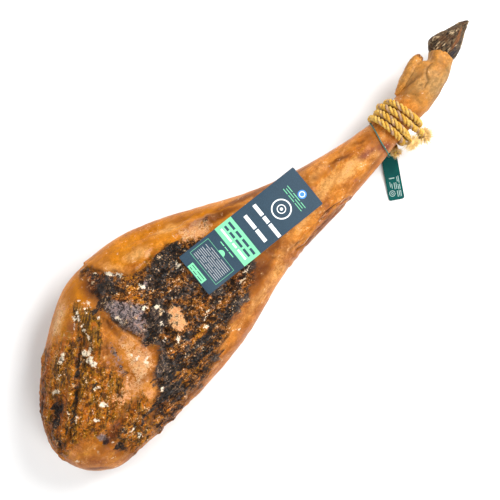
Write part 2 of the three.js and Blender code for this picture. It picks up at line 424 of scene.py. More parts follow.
def leg_form(skin):
    """Smooth points of the leg as rings, from a dome over the butt to a stump in the hoof."""
    stations = np.linspace(DOME_PLACE, STUMP_PLACE, 90)
    sections = np.array([skin.section(x) for x in stations])
    around = np.linspace(0, 2 * np.pi, LEG_SIDES, endpoint=False)
    around = around + TOP_BIAS * np.cos(around)
    dome_rings = int(LEG_RINGS * DOME_SHARE)
    tilts = np.linspace(np.pi / 2, 0, dome_rings, endpoint=False) * 0.985
    places = np.linspace(DOME_PLACE, STUMP_PLACE, LEG_RINGS - dome_rings)
    rings = [(DOME_PLACE, tilt) for tilt in tilts] + [(place, 0) for place in places]
    form = np.empty((LEG_RINGS, LEG_SIDES, 3))
    for ring, (place, tilt) in enumerate(rings):
        y, z, half_y, half_z = (np.interp(place, stations, column) for column in sections.T)
        middle = np.array([place, y, z])
        for side, angle in enumerate(around):
            way = np.array([0, half_y * math.cos(angle), half_z * math.sin(angle)])
            way /= np.linalg.norm(way)
            way = way * math.cos(tilt) + np.array([-math.sin(tilt), 0, 0])
            form[ring, side] = skin.outermost(middle, way)
    form = blur(form, FORM_BLUR / 2.0, 0, False)
    form = blur(form, FORM_BLUR / 2.8, 1, True)
    return form


def normals_of(form):
    along = np.gradient(form, axis=0)
    around = np.roll(form, -1, 1) - np.roll(form, 1, 1)
    normal = np.cross(along, around)
    normal /= np.maximum(np.linalg.norm(normal, axis=2, keepdims=True), 1e-9)
    outward = (normal * (form - form.mean(1, keepdims=True))).sum() > 0
    return normal if outward else -normal


# ---------------------------------------------------------------- what the leg's top shows, in mm

# Outlines of its zones, as (x, y) seen from above
LEAN = [(-215, 75), (-200, 118), (-190, 114), (-186, 106), (-178, 92), (-163, 68), (-150, 56), (-120, 53),
        (-90, 52), (-72, 42), (-52, 20), (-42, 0), (-34, -25), (-28, -48), (-42, -68), (-72, -80), (-100, -85),
        (-130, -95), (-170, -107), (-215, -114), (-262, -118), (-300, -118), (-290, -96), (-268, -84), (-240, -58), (-212, -45),
        (-200, -28), (-213, -18), (-214, 5), (-216, 35)]
CHARRED = [(-160, 40), (-140, 46), (-120, 46), (-88, 48), (-70, 20), (-60, 0), (-70, -15), (-100, 18),
           (-125, 8), (-140, -2), (-150, 15), (-157, 28)]
CHARRED_LOW = [(-246, -58), (-222, -60), (-196, -64), (-168, -58), (-140, -50), (-112, -44), (-88, -44),
               (-70, -56), (-74, -70), (-95, -76), (-125, -80), (-165, -92), (-215, -92), (-246, -84)]
CHARRED_EDGE = [(-262, -80), (-240, -78), (-215, -96), (-225, -104), (-250, -102)]
VIOLET = [(-214, 50), (-204, 56), (-192, 48), (-180, 34), (-174, 16), (-184, 2), (-196, -6), (-208, -8),
          (-214, 6)]
KNOB = [(-170, -34), (-166, -18), (-152, -9), (-143, -12), (-146, -28), (-152, -42), (-165, -42)]
PALE_FAT = [(-262, -46), (-244, -52), (-224, -48), (-214, -34), (-216, -10), (-217, 14), (-226, 18),
            (-240, 2), (-250, -18)]
PALE_FAT_LOW = [(-306, -28), (-285, -34), (-262, -30), (-240, -44), (-242, -62), (-252, -76), (-266, -72),
                (-278, -56), (-304, -50)]
OLIVE_FOLDS = [(-268, 8), (-224, 44), (-222, 60), (-232, 92), (-246, 92), (-262, 60), (-272, 30)]
BUTT = [(-420, -40), (-396, 20), (-330, 80), (-300, 80), (-275, 66), (-262, 60), (-268, 8), (-262, -30),
        (-285, -60), (-300, -60), (-345, -60), (-372, -44)]
BUTT_LOW = [(-345, -60), (-262, -58), (-256, -110), (-345, -112), (-340, -88)]
UPPER_SKIN = [(-190, 116), (-189, 112), (-184, 103), (-178, 92), (-170, 77), (-162, 65), (-152, 58),
              (-142, 54), (-133, 53), (-125, 56), (-116, 58), (-104, 57), (-95, 55), (-85, 47), (-70, 41),
              (-53, 33), (-30, 26), (0, 16), (0, 140), (-190, 140)]
GOLD_SIDE = [(-420, 0), (-340, 55), (-300, 72), (-262, 66), (-225, 70), (-190, 60), (-185, 140), (-420, 140)]
BLUSH_FAT = [(-78, 40), (-70, 52), (-55, 46), (-30, 32), (-26, 22), (-45, 16), (-62, 24)]
RUST_FLAP = [(30, -84), (70, -82), (100, -84), (126, -91), (130, -97), (60, -99), (30, -100)]
BUTT_SKIN = [(-412, -45), (-370, -44), (-355, -54), (-346, -74), (-350, -92), (-345, -108), (-378, -112),
             (-408, -72)]

# Soft spots: [x, y, half length, half width, turn, strength]
# black meat, and painted shade along the crevice in the butt
BLACK_SPOTS_AND_CREVICE_SHADE = [
    [-190, -14, 17, 9, 60, 0.9], [-168, 20, 10, 6, 40, 0.7],
    [-192, -46, 12, 7, -10, 0.6], [-178, -52, 16, 4, -18, 0.6],
    [-250, -2, 34, 4, 61, 0.55], [-262, -34, 14, 4, 61, 0.5],
    [-300, 24, 26, 4, 38, 0.8], [-350, -12, 24, 4, 28, 0.7], [-282, 38, 12, 4, 45, 0.6], [-285, -84, 10, 3, 0, 0.7],
    [-214, 62, 14, 10, 0, 0.7], [-192, 98, 7, 8, 0, 0.5], [-392, -6, 12, 5, 60, 0.5], [-320, -72, 12, 3, 20, 0.6],
    [-232, -66, 20, 3, -6, 0.7], [-180, -72, 26, 3, -6, 0.8], [-130, -70, 22, 4, -4, 0.8],
    [-377, 2, 10, 8, 30, 1], [-362, 12, 11, 9, 20, 1], [-397, -22, 6, 4, 30, 1], [-267, 52, 6, 6, 60, 0.5],
    [-343, -88, 9, 8, 70, 1], [-330, 0, 10, 4, 45, 0.9], [-186, 66, 10, 9, -30, 1], [-205, 58, 10, 6, 20, 1],
    [-224, 62, 7, 5, 0, 0.9], [-206, -19, 9, 6, 0, 1], [-105, -75, 24, 8, 0, 1], [-178, -84, 22, 6, -8, 1],
    [-130, 25, 18, 10, 0, 0.9], [-150, 32, 9, 6, -40, 1], [-200, 78, 9, 5, 30, 0.7], [-254, -86, 12, 7, -50, 1],
    [-345, -64, 12, 4, 30, 0.8], [-296, -88, 9, 3, 0, 0.8], [-272, -84, 8, 4, 0, 0.8], [-165, -54, 12, 5, -20, 0.9],
    [-116, 42, 14, 7, 10, 1], [-36, 28, 11, 4, 28, 0.9], [-125, -8, 20, 9, -40, 0.8], [-165, -100, 20, 3, -5, 0.7],
]
# white mould, and a few painted highlights on the pale fat and the violet meat
MOULD_AND_HIGHLIGHT_SPOTS = [
    [-247, 70, 15, 2.2, 62, 1], [-256, 46, 9, 2, 66, 0.9], [-232, -14, 4, 3, 20, 0.8], [-222, -34, 5, 2, 40, 0.8],
    [-276, 34, 6, 4, 70, 1], [-278, 22, 7, 4, 60, 1], [-268, 30, 8, 3, 10, 1], [-279, 13, 5, 5, 0, 1],
    [-303, 52, 8, 4, 15, 1], [-345, 28, 6, 4, -10, 1], [-334, -38, 5, 3.5, -40, 1], [-311, -32, 4, 5, 60, 1],
    [-300, -10, 6, 3, -10, 0.8], [-315, -98, 6, 3, 30, 0.9], [-262, 68, 9, 3, 40, 0.8], [-250, 76, 5, 4, 20, 0.9],
    [-350, -18, 6, 3, 30, 0.7], [-310, -85, 9, 2, 5, 0.7], [-253, 55, 3.5, 4, 0, 1], [-228, 53, 3, 3, 0, 0.9],
    [-243, -77, 3.4, 2.4, 0, 1], [-155, 38, 2.5, 7, 10, 0.9], [-175, 14, 5, 3, -30, 0.8], [-163, 2, 5, 3, -15, 0.9],
    [-175, -18, 5, 4, 40, 0.8], [-162, -10, 6, 2, 40, 0.8], [-190, -36, 5, 3, 10, 0.8],
    [-176, -46, 4, 3, 20, 0.7], [-228, -38, 4, 5, 0, 0.7], [-232, -24, 6, 2, 0, 0.7],
    [-206, 107, 2.4, 2, 0, 0.9], [-188, 99, 3, 3, 0, 0.8], [-199, 91, 3, 2, 0, 0.8],
    [-173, 80, 3, 11, 28, 1], [-166, 70, 3, 8, 35, 0.9],
    [-122, -53, 7, 2, 0, 0.8], [-138, -64, 6, 2, -20, 0.8], [-133, -57, 6, 1.5, 10, 0.7], [-104, 17, 4, 8, -10, 0.8],
    [-230, 88, 4, 5, 50, 0.8], [-233, 72, 5, 4, 50, 0.7], [-225, 78, 3, 3, 0, 0.6], [-330, -28, 5, 3, 0, 0.7],
    [-320, 40, 7, 3, 0, 0.6], [-355, -5, 6, 2, 30, 0.6], [-288, -66, 3, 2, 0, 0.8], [-344, -75, 3, 2, 0, 0.8],
    [-210, 28, 5, 8, 0, 0.6], [-60, -58, 12, 3, 0, 0.8], [-45, -55, 9, 3, 0, 0.7],
    [-277, -98, 5, 2, 0, 0.6], [-265, -95, 5, 2, -20, 0.7], [-400, -58, 6, 3, -50, 0.7], [-112, -101, 6, 2, -40, 0.6],
]
ORANGE_SPOTS = [
    [-175, 28, 16, 6, -40, 1], [-188, 36, 9, 6, -40, 0.8], [-150, 22, 14, 5, -30, 0.6], [-125, 55, 26, 4, 0, 1],
    [-150, -66, 18, 5, -10, 1], [-190, -60, 12, 4, 30, 0.4], [-218, -80, 10, 5, 0, 0.9], [-205, -92, 20, 5, 0, 0.9],
    [-278, -99, 14, 5, 10, 1], [-345, -95, 8, 4, 40, 0.8], [-325, 16, 24, 6, 32, 0.9], [-300, 36, 22, 5, 28, 0.9],
    [-330, -36, 14, 7, 0, 0.8], [-352, -38, 14, 5, -10, 0.8], [-285, 2, 18, 8, 35, 0.9], [-300, -52, 22, 6, 5, 0.7],
    [-222, 52, 4, 8, 10, 0.9], [-272, 72, 14, 10, 20, 0.9], [-290, 78, 12, 8, 30, 0.8], [-320, -70, 20, 6, 10, 0.6],
    [-205, -46, 20, 4, -8, 0.2], [-240, -44, 16, 5, -20, 0.6], [-100, -20, 14, 5, 30, 0.4], [-165, 45, 12, 6, -30, 0.7],
    [-200, 100, 10, 5, 0, 0.4], [-160, 56, 12, 5, -30, 0.9], [-355, -60, 5, 14, -20, 0.7], [-352, -76, 6, 10, 10, 0.8],
]
BRUISES = [
    [181, -69, 10, 5, -20, 0.9], [209, -82, 12, 8, -35, 1], [193, -73, 8, 4, 0, 0.7], [148, -84, 4, 2.5, 0, 0.6], [-262, 72, 7, 8, 0, 0.5],
    [-380, -75, 16, 10, -50, 0.35], [-335, -68, 20, 5, 10, 0.4], [-45, 40, 18, 4, -25, 0.5],
]
# pale fat, and painted highlights on the skin of the shank and beside the butt
PALE_FAT_AND_HIGHLIGHT_SPOTS = [
    [-268, 94, 26, 8, 30, 0.9], [-285, 86, 10, 7, 40, 0.8], [150, -66, 24, 5, -4, 0.5], [-165, 90, 18, 8, -30, 0.2],
    [-120, 61, 11, 4, 0, 0.8], [-140, 57, 10, 3, -10, 0.7], [-20, -15, 12, 4, -30, 0.4], [115, -40, 20, 6, 0, 0.25], [60, -30, 30, 6, -10, 0.3],
    [-45, 38, 16, 4, -30, 0.9], [-62, 42, 10, 5, -20, 0.9], [-258, -66, 11, 9, 0, 0.6], [-288, -44, 14, 7, 0, 0.6],
    [-262, -48, 10, 6, 0, 0.7], [100, -58, 20, 4, -4, 0.3],
]

GREY_SPOTS = [
    [-252, -4, 38, 10, 61, 0.62], [-222, -22, 9, 5, 60, 0.5], [-236, -62, 10, 5, 60, 0.5], [-348, -60, 8, 7, 0, 0.9], [-258, -60, 10, 4, 0, 0.5], [-228, -58, 16, 4, 0, 0.5],
    [-152, 36, 8, 7, 0, 0.7], [-262, 0, 14, 4, 45, 0.5], [-160, 12, 10, 8, 0, 0.4],
]
# On the smooth skin: painted highlights where it looks paler, and darker brown patches, partly real and partly painted
# shade along edges and folds
SKIN_HIGHLIGHTS = [
    [150, -66, 30, 9, -4, 1], [120, -58, 26, 9, 0, 0.8], [90, -60, 30, 10, 0, 0.7], [192, -78, 20, 8, 0, 0.5],
    [60, -66, 26, 7, 0, 0.6], [115, -38, 30, 6, 0, 0.5], [-130, 72, 22, 9, -20, 0.8], [-165, 84, 8, 22, 25, 0.5],
    [-75, 62, 26, 8, -28, 0.7], [-270, 92, 30, 10, 30, 1], [-60, -92, 50, 7, 5, 0.5], [-20, -88, 20, 8, 0, 0.6],
    [300, -72, 22, 8, 0, 0.4], [330, -68, 16, 9, 0, 0.3], [255, -60, 20, 10, 0, 0.3],
    [10, -76, 26, 8, 0, 0.4], [-30, 34, 24, 5, -28, 0.6], [-375, -58, 16, 8, 0, 0.3],
]
# darker brown patches: some are the ham's own brown, others painted shade along the outline of the butt and in the
# folds of the shank
BROWN_AND_SHADE = [
    [152, -47, 16, 3, -20, 0.9], [113, -40, 8, 4, -40, 0.6], [190, -52, 14, 3, -24, 0.6],
    [-318, 8, 60, 6, 36, 0.4], [-362, 6, 26, 14, 25, 0.9], [-203, 88, 22, 24, 0, 0.9], [-330, -66, 36, 8, 8, 0.8],
    [-345, -94, 16, 12, 60, 0.5], [-268, -92, 30, 9, 0, 0.7], [-225, 30, 5, 30, -10, 0.6], [-394, -10, 14, 22, 20, 0.7],
    [-290, 62, 30, 5, 25, 0.5], [-15, 24, 34, 6, -25, 1], [-262, 40, 10, 26, -30, 0.5], [-206, 0, 7, 40, 0, 0.5],
    [-300, -60, 40, 6, 0, 0.5], [300, -50, 30, 6, 0, 0.6], [292, -62, 8, 20, 10, 0.4], [345, -70, 8, 16, 10, 0.4],
    [320, -88, 30, 4, 10, 0.5], [-60, 8, 30, 12, 0, 0.3], [-40, -70, 30, 12, 20, 0.8], [-60, -52, 14, 10, 0, 0.8], [-350, 30, 12, 20, -30, 0.4], [-250, -50, 30, 5, -10, 0.4],
    [-100, 66, 70, 2.5, -28, 0.3], [-50, 58, 40, 4, -28, 0.5], [20, 18, 60, 5, -22, 0.8], [100, -16, 60, 3, -8, 0.6],
    [140, -46, 30, 3, -4, 0.5], [205, -70, 8, 12, 0, 0.5], [178, -40, 30, 3, -4, 0.4], [205, -62, 10, 20, 0, 0.5], [60, -92, 50, 5, 0, 0.7], [5, -60, 18, 8, 0, 0.7],
    [-35, -72, 26, 9, 10, 1], [170, -88, 40, 4, 5, 0.5], [270, -84, 20, 6, 0, 0.5], [288, -52, 14, 7, 0, 0.5],
    [-390, -85, 20, 4, -48, 0.8], [-400, -20, 8, 26, -10, 0.6], [-330, 60, 40, 5, 38, 0.6], [-362, 40, 50, 6, 38, 0.9], [-190, 108, 30, 6, 0, 0.4],
    [-240, -112, 60, 3, 0, 0.7], [-345, -108, 30, 4, 0, 0.5], [-232, 104, 20, 10, 20, 0.4],
]
# Creases: [depth, half width, pale rim, line]; those more than SOFT_CREASE wide are soft valleys, and the narrower ones
# get painted shade along them
CREASES = [
    [4.0, 2.4, 0.4, [(-400, -28), (-375, -25), (-350, -10), (-325, 5), (-305, 20), (-285, 38), (-268, 52)]],
    [3.0, 2.0, 0.3, [(-262, 3), (-245, 18), (-222, 40)]],
    [2.6, 1.8, 0.0, [(-287, -20), (-285, -30), (-283, -40)]],
    [5.0, 2.6, 0.4, [(-178, -27), (-168, -17), (-158, -10), (-150, -5)]],
    [2.6, 1.8, 0.2, [(-240, -70), (-220, -72), (-200, -75), (-160, -82), (-120, -85), (-85, -84)]],
    [1.6, 1.4, 0.0, [(-230, -62), (-190, -66), (-150, -74), (-120, -76)]],
    [1.4, 1.4, 0.0, [(-250, -92), (-210, -100), (-170, -104), (-130, -99)]],
    [1.6, 1.8, 0.0, [(-217, 50), (-215, 30), (-213, 5), (-215, -20), (-209, -30)]],
    [1.5, 1.6, 0.0, [(-240, 90), (-246, 60), (-256, 30)]],
    [1.1, 1.3, 0.0, [(-232, 80), (-238, 55), (-250, 28)]],
    [1.1, 1.2, 0.0, [(-250, 70), (-258, 44), (-268, 22)]],
    [2.2, 5.5, 0.0, [(105, -50), (125, -52), (140, -48), (165, -48), (190, -55), (215, -50)]],
    [2.2, 1.5, 0.2, [(14, -80), (40, -83), (70, -83), (100, -85), (125, -92)]],
    [1.4, 1.3, 0.0, [(20, -88), (50, -89), (80, -90), (120, -95)]],
    [1.2, 1.2, 0.0, [(30, -95), (60, -94), (95, -92)]],
    [1.8, 5.0, 0.0, [(-110, 85), (-60, 60), (-25, 35), (-5, 15)]],
    [1.2, 4.5, 0.0, [(-90, 78), (-50, 50), (-10, 22)]],
    [2.0, 4.5, 0.0, [(-75, -60), (-50, -66), (-25, -80), (-5, -96)]],
    [1.6, 4.5, 0.0, [(-30, -62), (-10, -72), (8, -92)]],
    [1.2, 4.5, 0.0, [(-10, -60), (5, -72), (22, -90)]],
    [1.8, 1.6, 0.2, [(-190, 118), (-183, 100), (-170, 82), (-160, 66), (-143, 56), (-120, 54)]],
    [1.4, 1.4, 0.0, [(-330, 30), (-310, 44), (-290, 52)]],
    [1.2, 1.4, 0.0, [(-340, 12), (-318, 26), (-300, 42)]],
    [1.2, 1.4, 0.0, [(-345, -22), (-320, -8), (-298, 12)]],
    [1.2, 1.4, 0.0, [(-330, -75), (-300, -72), (-275, -80)]],
    [1.4, 1.6, 0.0, [(-345, -100), (-335, -88), (-310, -80), (-280, -82)]],
]
RIDGES = [
    [1.6, 5.0, [(-392, -16), (-368, -12), (-345, 4), (-320, 18), (-300, 34)]],
    [1.8, 4.0, [(-218, 52), (-221, 30), (-219, 5), (-221, -22)]],
    [1.6, 4.0, [(-275, -5), (-250, 18), (-230, 38)]],
    [1.5, 5.0, [(-5, -64), (0, -76), (2, -92)]],
    [1.5, 4.0, [(8, -62), (14, -74), (16, -90)]],
    [1.6, 6.0, [(-120, 78), (-70, 55), (-30, 30)]],
    [1.8, 5.0, [(110, -58), (150, -56), (190, -63)]],
    [1.2, 5.0, [(-255, -100), (-200, -110), (-140, -108), (-100, -106)]],
]
# On the trotter: [depth, half width, line]
TROTTER_CREASES = [
    [2.0, 1.4, [(338, -50), (330, -52), (322, -56), (316, -62)]],
    [1.8, 1.3, [(318, -63), (310, -65), (303, -68)]],
    [1.2, 1.1, [(300, -60), (306, -64)]],
    [1.3, 1.3, [(345, -56), (350, -66), (349, -76)]],
    [1.2, 1.3, [(285, -44), (300, -50), (318, -52)]],
    [1.0, 1.2, [(280, -50), (290, -70)]],
    [1.0, 1.2, [(276, -58), (283, -66), (285, -78)]],
]
# Swellings and hollows: [x, y, half length, half width, turn, height]
SWELLINGS = [
    [-197, 22, 34, 15, 100, 5.0], [-156, -26, 18, 12, 65, 5.5], [-236, -20, 34, 22, 80, 3.0],
    [-257, -66, 11, 10, 0, 3.0], [-288, -45, 16, 9, 10, 2.0], [-375, -78, 34, 20, -55, 2.5],
    [-285, -98, 16, 7, 5, 2.0], [-248, 50, 34, 12, 70, 2.0], [-320, 24, 34, 8, 30, 2.0],
    [-330, 48, 30, 12, 28, 1.5], [-112, 64, 14, 8, 0, 2.0], [-60, 36, 20, 8, -28, 1.5],
    [115, -34, 24, 10, 0, 1.5], [-60, -84, 40, 10, 0, 1.5], [-150, -110, 60, 8, 0, 1.5],
]
HOLLOWS = [
    [-204, 84, 26, 18, 40, 3.5], [-130, 15, 40, 22, -10, 4.0], [-205, -20, 12, 10, 0, 3.0],
    [-266, 50, 9, 9, 0, 3.0], [-368, 8, 18, 10, 25, 3.0], [-343, -88, 10, 9, 0, 2.5],
    [-120, -50, 60, 20, 0, 3.0], [-266, -14, 12, 16, 0, 2.0], [-330, -66, 26, 7, 15, 2.0],
    [-240, -88, 26, 8, -20, 2.0], [150, -40, 40, 5, 0, 1.5], [-45, -78, 14, 8, 0, 1.5],
]

# ---------------------------------------------------------------- the leg's relief and zones

CARD_LENGTH, CARD_WIDTH, CARD_THICKNESS = 200, 65, 0.6
CARD_PLACE = (-1, -22.6)
CARD_TURN = -9.6
ROPE_BAND = (205, 275)
SOFT_CREASE = 4.5


def on_card(x, y, margin):
    """1 under the card, fading out over its margin."""
    c, s = math.cos(math.radians(CARD_TURN)), math.sin(math.radians(CARD_TURN))
    u = (x - CARD_PLACE[0]) * c + (y - CARD_PLACE[1]) * s
    v = -(x - CARD_PLACE[0]) * s + (y - CARD_PLACE[1]) * c
    past = np.maximum(np.abs(u) - CARD_LENGTH / 2, np.abs(v) - CARD_WIDTH / 2)
    return 1 - smoothstep(0, margin, past)


def leg_zones(points, normals):
    """How strongly each zone shows at each point of the leg, from 0 to 1."""
    wx = points[:, 0] + 3.0 * noise(points, 16, 1, 3)
    wy = points[:, 1] + 3.0 * noise(points, 16, 2, 3)
    top = smoothstep(-0.35, 0.02, normals[:, 2])
    blotch = noise(points, 15, 3, 3)
    streak = noise(points * (0.3, 1, 1), 8, 4, 3)
    butt_streak = noise(turned(points, 34) * (0.35, 1, 1), 10, 5, 3)
    zones = {}
    torn_x = points[:, 0] + 7.0 * noise(points, 24, 8, 4)
    torn_y = points[:, 1] + 7.0 * noise(points, 24, 9, 4)
    butt = np.maximum(within(wx, wy, BUTT, 13), within(wx, wy, BUTT_LOW, 12)) * top
    butt *= 1 - within(wx, wy, BUTT_SKIN, 10)
    lean = within(torn_x, torn_y, LEAN, 11) * top
    folds = within(wx, wy, OLIVE_FOLDS, 9) * top
    upper = within(points[:, 0], points[:, 1], UPPER_SKIN, 1.2)
    zones["lean"] = lean * (1 - upper)
    zones["butt"] = 0.85 * np.maximum(butt, folds * 0.8) * (1 - zones["lean"])
    olive = np.clip(0.42 + 0.55 * butt_streak + 0.3 * blotch, 0, 1)
    zones["olive"] = zones["butt"] * np.maximum(olive, folds)
    char_and_shade = within(wx, wy, CHARRED, 12) * np.clip(0.86 + 0.6 * blotch + 0.4 * streak, 0, 1)
    low_streak = noise(turned(points, -20) * (0.22, 1, 1), 10, 6, 3)
    char_low = np.maximum(within(wx, wy, CHARRED_LOW, 10), within(wx, wy, CHARRED_EDGE, 8))
    char_and_shade = np.maximum(char_and_shade, char_low * np.clip(0.30 + 1.1 * low_streak + 0.3 * blotch, 0, 1))
    # black spots, some of them painted shade along the butt's crevice
    char_and_shade = np.maximum(char_and_shade, patches(wx, wy, BLACK_SPOTS_AND_CREVICE_SHADE))
    zones["char_and_shade"] = char_and_shade * top
    grey = np.maximum(within(wx, wy, VIOLET, 11), patches(wx, wy, GREY_SPOTS))
    zones["violet"] = grey * top
    zones["orange"] = patches(wx, wy, ORANGE_SPOTS) * top
    fat = np.maximum(within(torn_x, torn_y, PALE_FAT, 16), within(wx, wy, PALE_FAT_LOW, 14) * 0.62)
    fat *= np.clip(1.02 + 0.7 * noise(turned(points, 62) * (0.5, 1, 1), 16, 7, 3), 0.35, 1)
    knob = 0.8 * within(wx, wy, KNOB, 3)
    zones["pale"] = np.maximum.reduce([fat, knob, patches(wx, wy, PALE_FAT_AND_HIGHLIGHT_SPOTS),
                                       within(wx, wy, BLUSH_FAT, 8) * 0.8]) * top
    zones["mould_and_highlight"] = patches(wx, wy, MOULD_AND_HIGHLIGHT_SPOTS) * top
    zones["bruise"] = patches(wx, wy, BRUISES) * top
    rust = within(wx, wy, RUST_FLAP, 3) * np.clip(0.7 + streak, 0, 1)
    zones["rust"] = rust * top
    zones["trotter"] = smoothstep(268, 288, points[:, 0] + 6 * blotch)
    zones["under"] = 1 - top
    zones["knob"] = knob * top
    # painted highlights on the skin
    zones["skin_highlight"] = patches(wx, wy, SKIN_HIGHLIGHTS) * top
    # brown patches, partly painted shade
    zones["brown_and_shade"] = patches(wx, wy, BROWN_AND_SHADE) * top
    return zones


def turned(points, turn):
    """Points turned about Z, so that X runs along a direction."""
    c, s = math.cos(math.radians(turn)), math.sin(math.radians(turn))
    return points @ np.array([[c, -s, 0], [s, c, 0], [0, 0, 1]])


def leg_relief(points, normals, zones):
    """How far the leg's surface stands out from its smooth form, and how much painted shade it gets from lying in a
    crease.
    """
    x = points[:, 0] + 3.2 * noise(points, 26, 21, 4)
    y = points[:, 1] + 3.2 * noise(points, 26, 22, 4)
    top = 1 - zones["under"]
    crust = np.maximum(zones["lean"], zones["butt"] * 0.8) * (1 - 0.6 * zones["violet"]) * (1 - zones["knob"])
    lumps = noise(points, 24, 23, 3)
    folds = 1 - np.abs(noise(points, 13, 24, 3)) * 2
    grain = noise(points, 6, 25, 2)
    along = noise(points * (0.22, 1, 1), 7, 26, 3)
    butt_along = noise(turned(points, 34) * (0.25, 1, 1), 9, 27, 3)
    relief = crust * (2.9 * lumps + 2.2 * folds + 1.3 * grain)
    low_lean = zones["lean"] * smoothstep(-45, -65, points[:, 1])
    relief += 2.4 * low_lean * along + 3.2 * zones["butt"] * butt_along
    calm = 1 - np.clip(crust, 0, 1)
    relief += calm * (0.9 * noise(points * (0.5, 1, 1), 40, 28, 2) + 0.28 * noise(points * (0.35, 1, 1), 9, 29, 2))
    relief += zones["pale"] * 0.6 * noise(points, 10, 30, 2) * (1 - zones["knob"])
    relief += 0.8 * zones["mould_and_highlight"] * np.clip(noise(points, 4, 31, 2) + 0.5, 0, 1)
    crease_shade = np.zeros(len(points))
    pale = np.zeros(len(points))
    uneven = np.clip(0.60 + 1.1 * noise(points, 18, 34, 2), 0.08, 1.1)
    for depth, width, rim, line in CREASES:
        away, side = line_distance(x, y, line)
        dark = width < SOFT_CREASE
        width = width * np.clip(1 + 0.5 * lumps, 0.5, 1.7)
        cut = np.exp(-((away / width) ** 2)) * top * uneven
        relief -= depth * cut
        # painted shade down the middle of the narrow creases
        crease_shade = np.maximum(crease_shade, cut * min(depth / 2.6, 0.9) * dark)
        lip = np.exp(-(((away - 2.2 * width) / width) ** 2)) * top
        relief += 0.16 * depth * lip
        pale = np.maximum(pale, rim * lip * (side > 0) * np.clip(0.3 + lumps, 0, 1))
    for height, width, line in RIDGES:
        away, _ = line_distance(x, y, line)
        relief += height * np.exp(-((away / width) ** 2)) * top
    for px, py, long, wide, turn, height in SWELLINGS:
        relief += height * patches(x, y, [[px, py, long, wide, turn, 1]]) * top
    for px, py, long, wide, turn, depth in HOLLOWS:
        relief -= depth * patches(x, y, [[px, py, long, wide, turn, 1]]) * top
    upper, lean = line_distance(x, y, UPPER_SKIN[:17])
    relief += 1.8 * np.exp(-upper / 14) * np.where(lean > 0, 1, -1) * top
    trotter = zones["trotter"]
    relief += trotter * (0.8 * noise(points * (0.6, 1, 1), 14, 32, 3) + 0.2 * noise(points, 4, 33, 2))
    for depth, width, line in TROTTER_CREASES:
        away, _ = line_distance(x, y, line)
        cut = np.exp(-((away / width) ** 2)) * top
        relief -= depth * cut
        # painted shade in the trotter's creases
        crease_shade = np.maximum(crease_shade, 0.5 * cut * min(depth / 2.0, 1))
    relief *= 1 - 0.6 * zones["under"]
    return relief, crease_shade, pale


def beside_dewclaw(points):
    """How far the trotter's side draws in next to the upper dewclaw, which stands free of it."""
    x, y = points[:, 0], points[:, 1]
    return 8 * np.exp(-(((x - 342) / 8) ** 2)) * smoothstep(-64, -38, y)


def make_leg(material):
    skin = CadSkin()
    form = leg_form(skin)
    normals = normals_of(form)
    flat, flat_normals = form.reshape(-1, 3), normals.reshape(-1, 3)
    zones = leg_zones(flat, flat_normals)
    relief, crease_shade, pale = leg_relief(flat, flat_normals, zones)
    card = on_card(flat[:, 0], flat[:, 1], 14) * (flat_normals[:, 2] > 0)
    relief = np.where(card > 0, relief * (1 - card) + np.minimum(relief, -0.4) * card, relief)
    rope = smoothstep(-16, 0, flat[:, 0] - ROPE_BAND[0]) * smoothstep(-14, 0, ROPE_BAND[1] - flat[:, 0])
    relief = relief * (1 - rope) + np.clip(relief * 0.4, -2, 0.1) * rope
    points = flat + flat_normals * relief[:, None]
    points[:, 1] -= beside_dewclaw(points)
    points[:, 2] = np.maximum(points[:, 2], 0)
    faces = ring_faces(LEG_RINGS, LEG_SIDES)
    leg = make_mesh("ham_leg", points * MM, faces, material)
    groups = {
        "zone_meat": ("lean", "char_and_shade", "violet"),
        "zone_fat": ("butt", "olive", "pale"),
        "zone_spots": ("mould_and_highlight", "orange", "bruise"),
        "zone_ends": ("rust", "trotter", "under"),
        "zone_skin": ("skin_highlight", "brown_and_shade", "knob"),
    }
    for name, members in groups.items():
        colour = np.stack([zones[member] for member in members] + [np.ones(len(points))], 1)
        set_attribute(leg, name, "FLOAT_COLOR", colour)
    upper = np.maximum(within(flat[:, 0], flat[:, 1], UPPER_SKIN, 20), within(flat[:, 0], flat[:, 1], GOLD_SIDE, 20))
    upper = upper * smoothstep(-0.6, -0.2, flat_normals[:, 2])
    extra = np.stack([crease_shade, pale, upper, np.ones(len(points))], 1)
    set_attribute(leg, "zone_lines", "FLOAT_COLOR", extra)
    return stand_for(leg, "leg")


# ---------------------------------------------------------------- the ham's own material

AMBER = (0.49, 0.175, 0.024)
AMBER_DEEP = (0.34, 0.104, 0.014)
AMBER_PALE = (0.58, 0.29, 0.085)
AMBER_LIGHT = (0.62, 0.27, 0.020)
GOLD = (0.50, 0.162, 0.0005)
GOLD_DEEP = (0.37, 0.104, 0.0005)
BROWN = (0.155, 0.052, 0.008)
ORANGE = (0.43, 0.115, 0.003)
CREAM = (0.74, 0.50, 0.27)
PEACH = (0.62, 0.31, 0.12)
BLUSH = (0.40, 0.155, 0.065)
OLIVE = (0.245, 0.100, 0.002)
OLIVE_PALE = (0.42, 0.24, 0.050)
OLIVE_DARK = (0.040, 0.014, 0.001)
MEAT = (0.060, 0.021, 0.003)
MEAT_RED = (0.185, 0.060, 0.005)
BLACK = (0.013, 0.009, 0.006)
SLATE = (0.050, 0.042, 0.038)
VIOLET_GREY = (0.270, 0.205, 0.200)
MOULD_AND_HIGHLIGHT = (0.66, 0.57, 0.43)
RUST = (0.20, 0.048, 0.012)
WINE = (0.14, 0.030, 0.034)
HIDE = (0.40, 0.165, 0.028)
HIDE_PALE = (0.37, 0.200, 0.066)
BROWN_AND_SHADE_TINT = (0.42, 0.30, 0.20)
HIDE_DARK = (0.20, 0.062, 0.008)


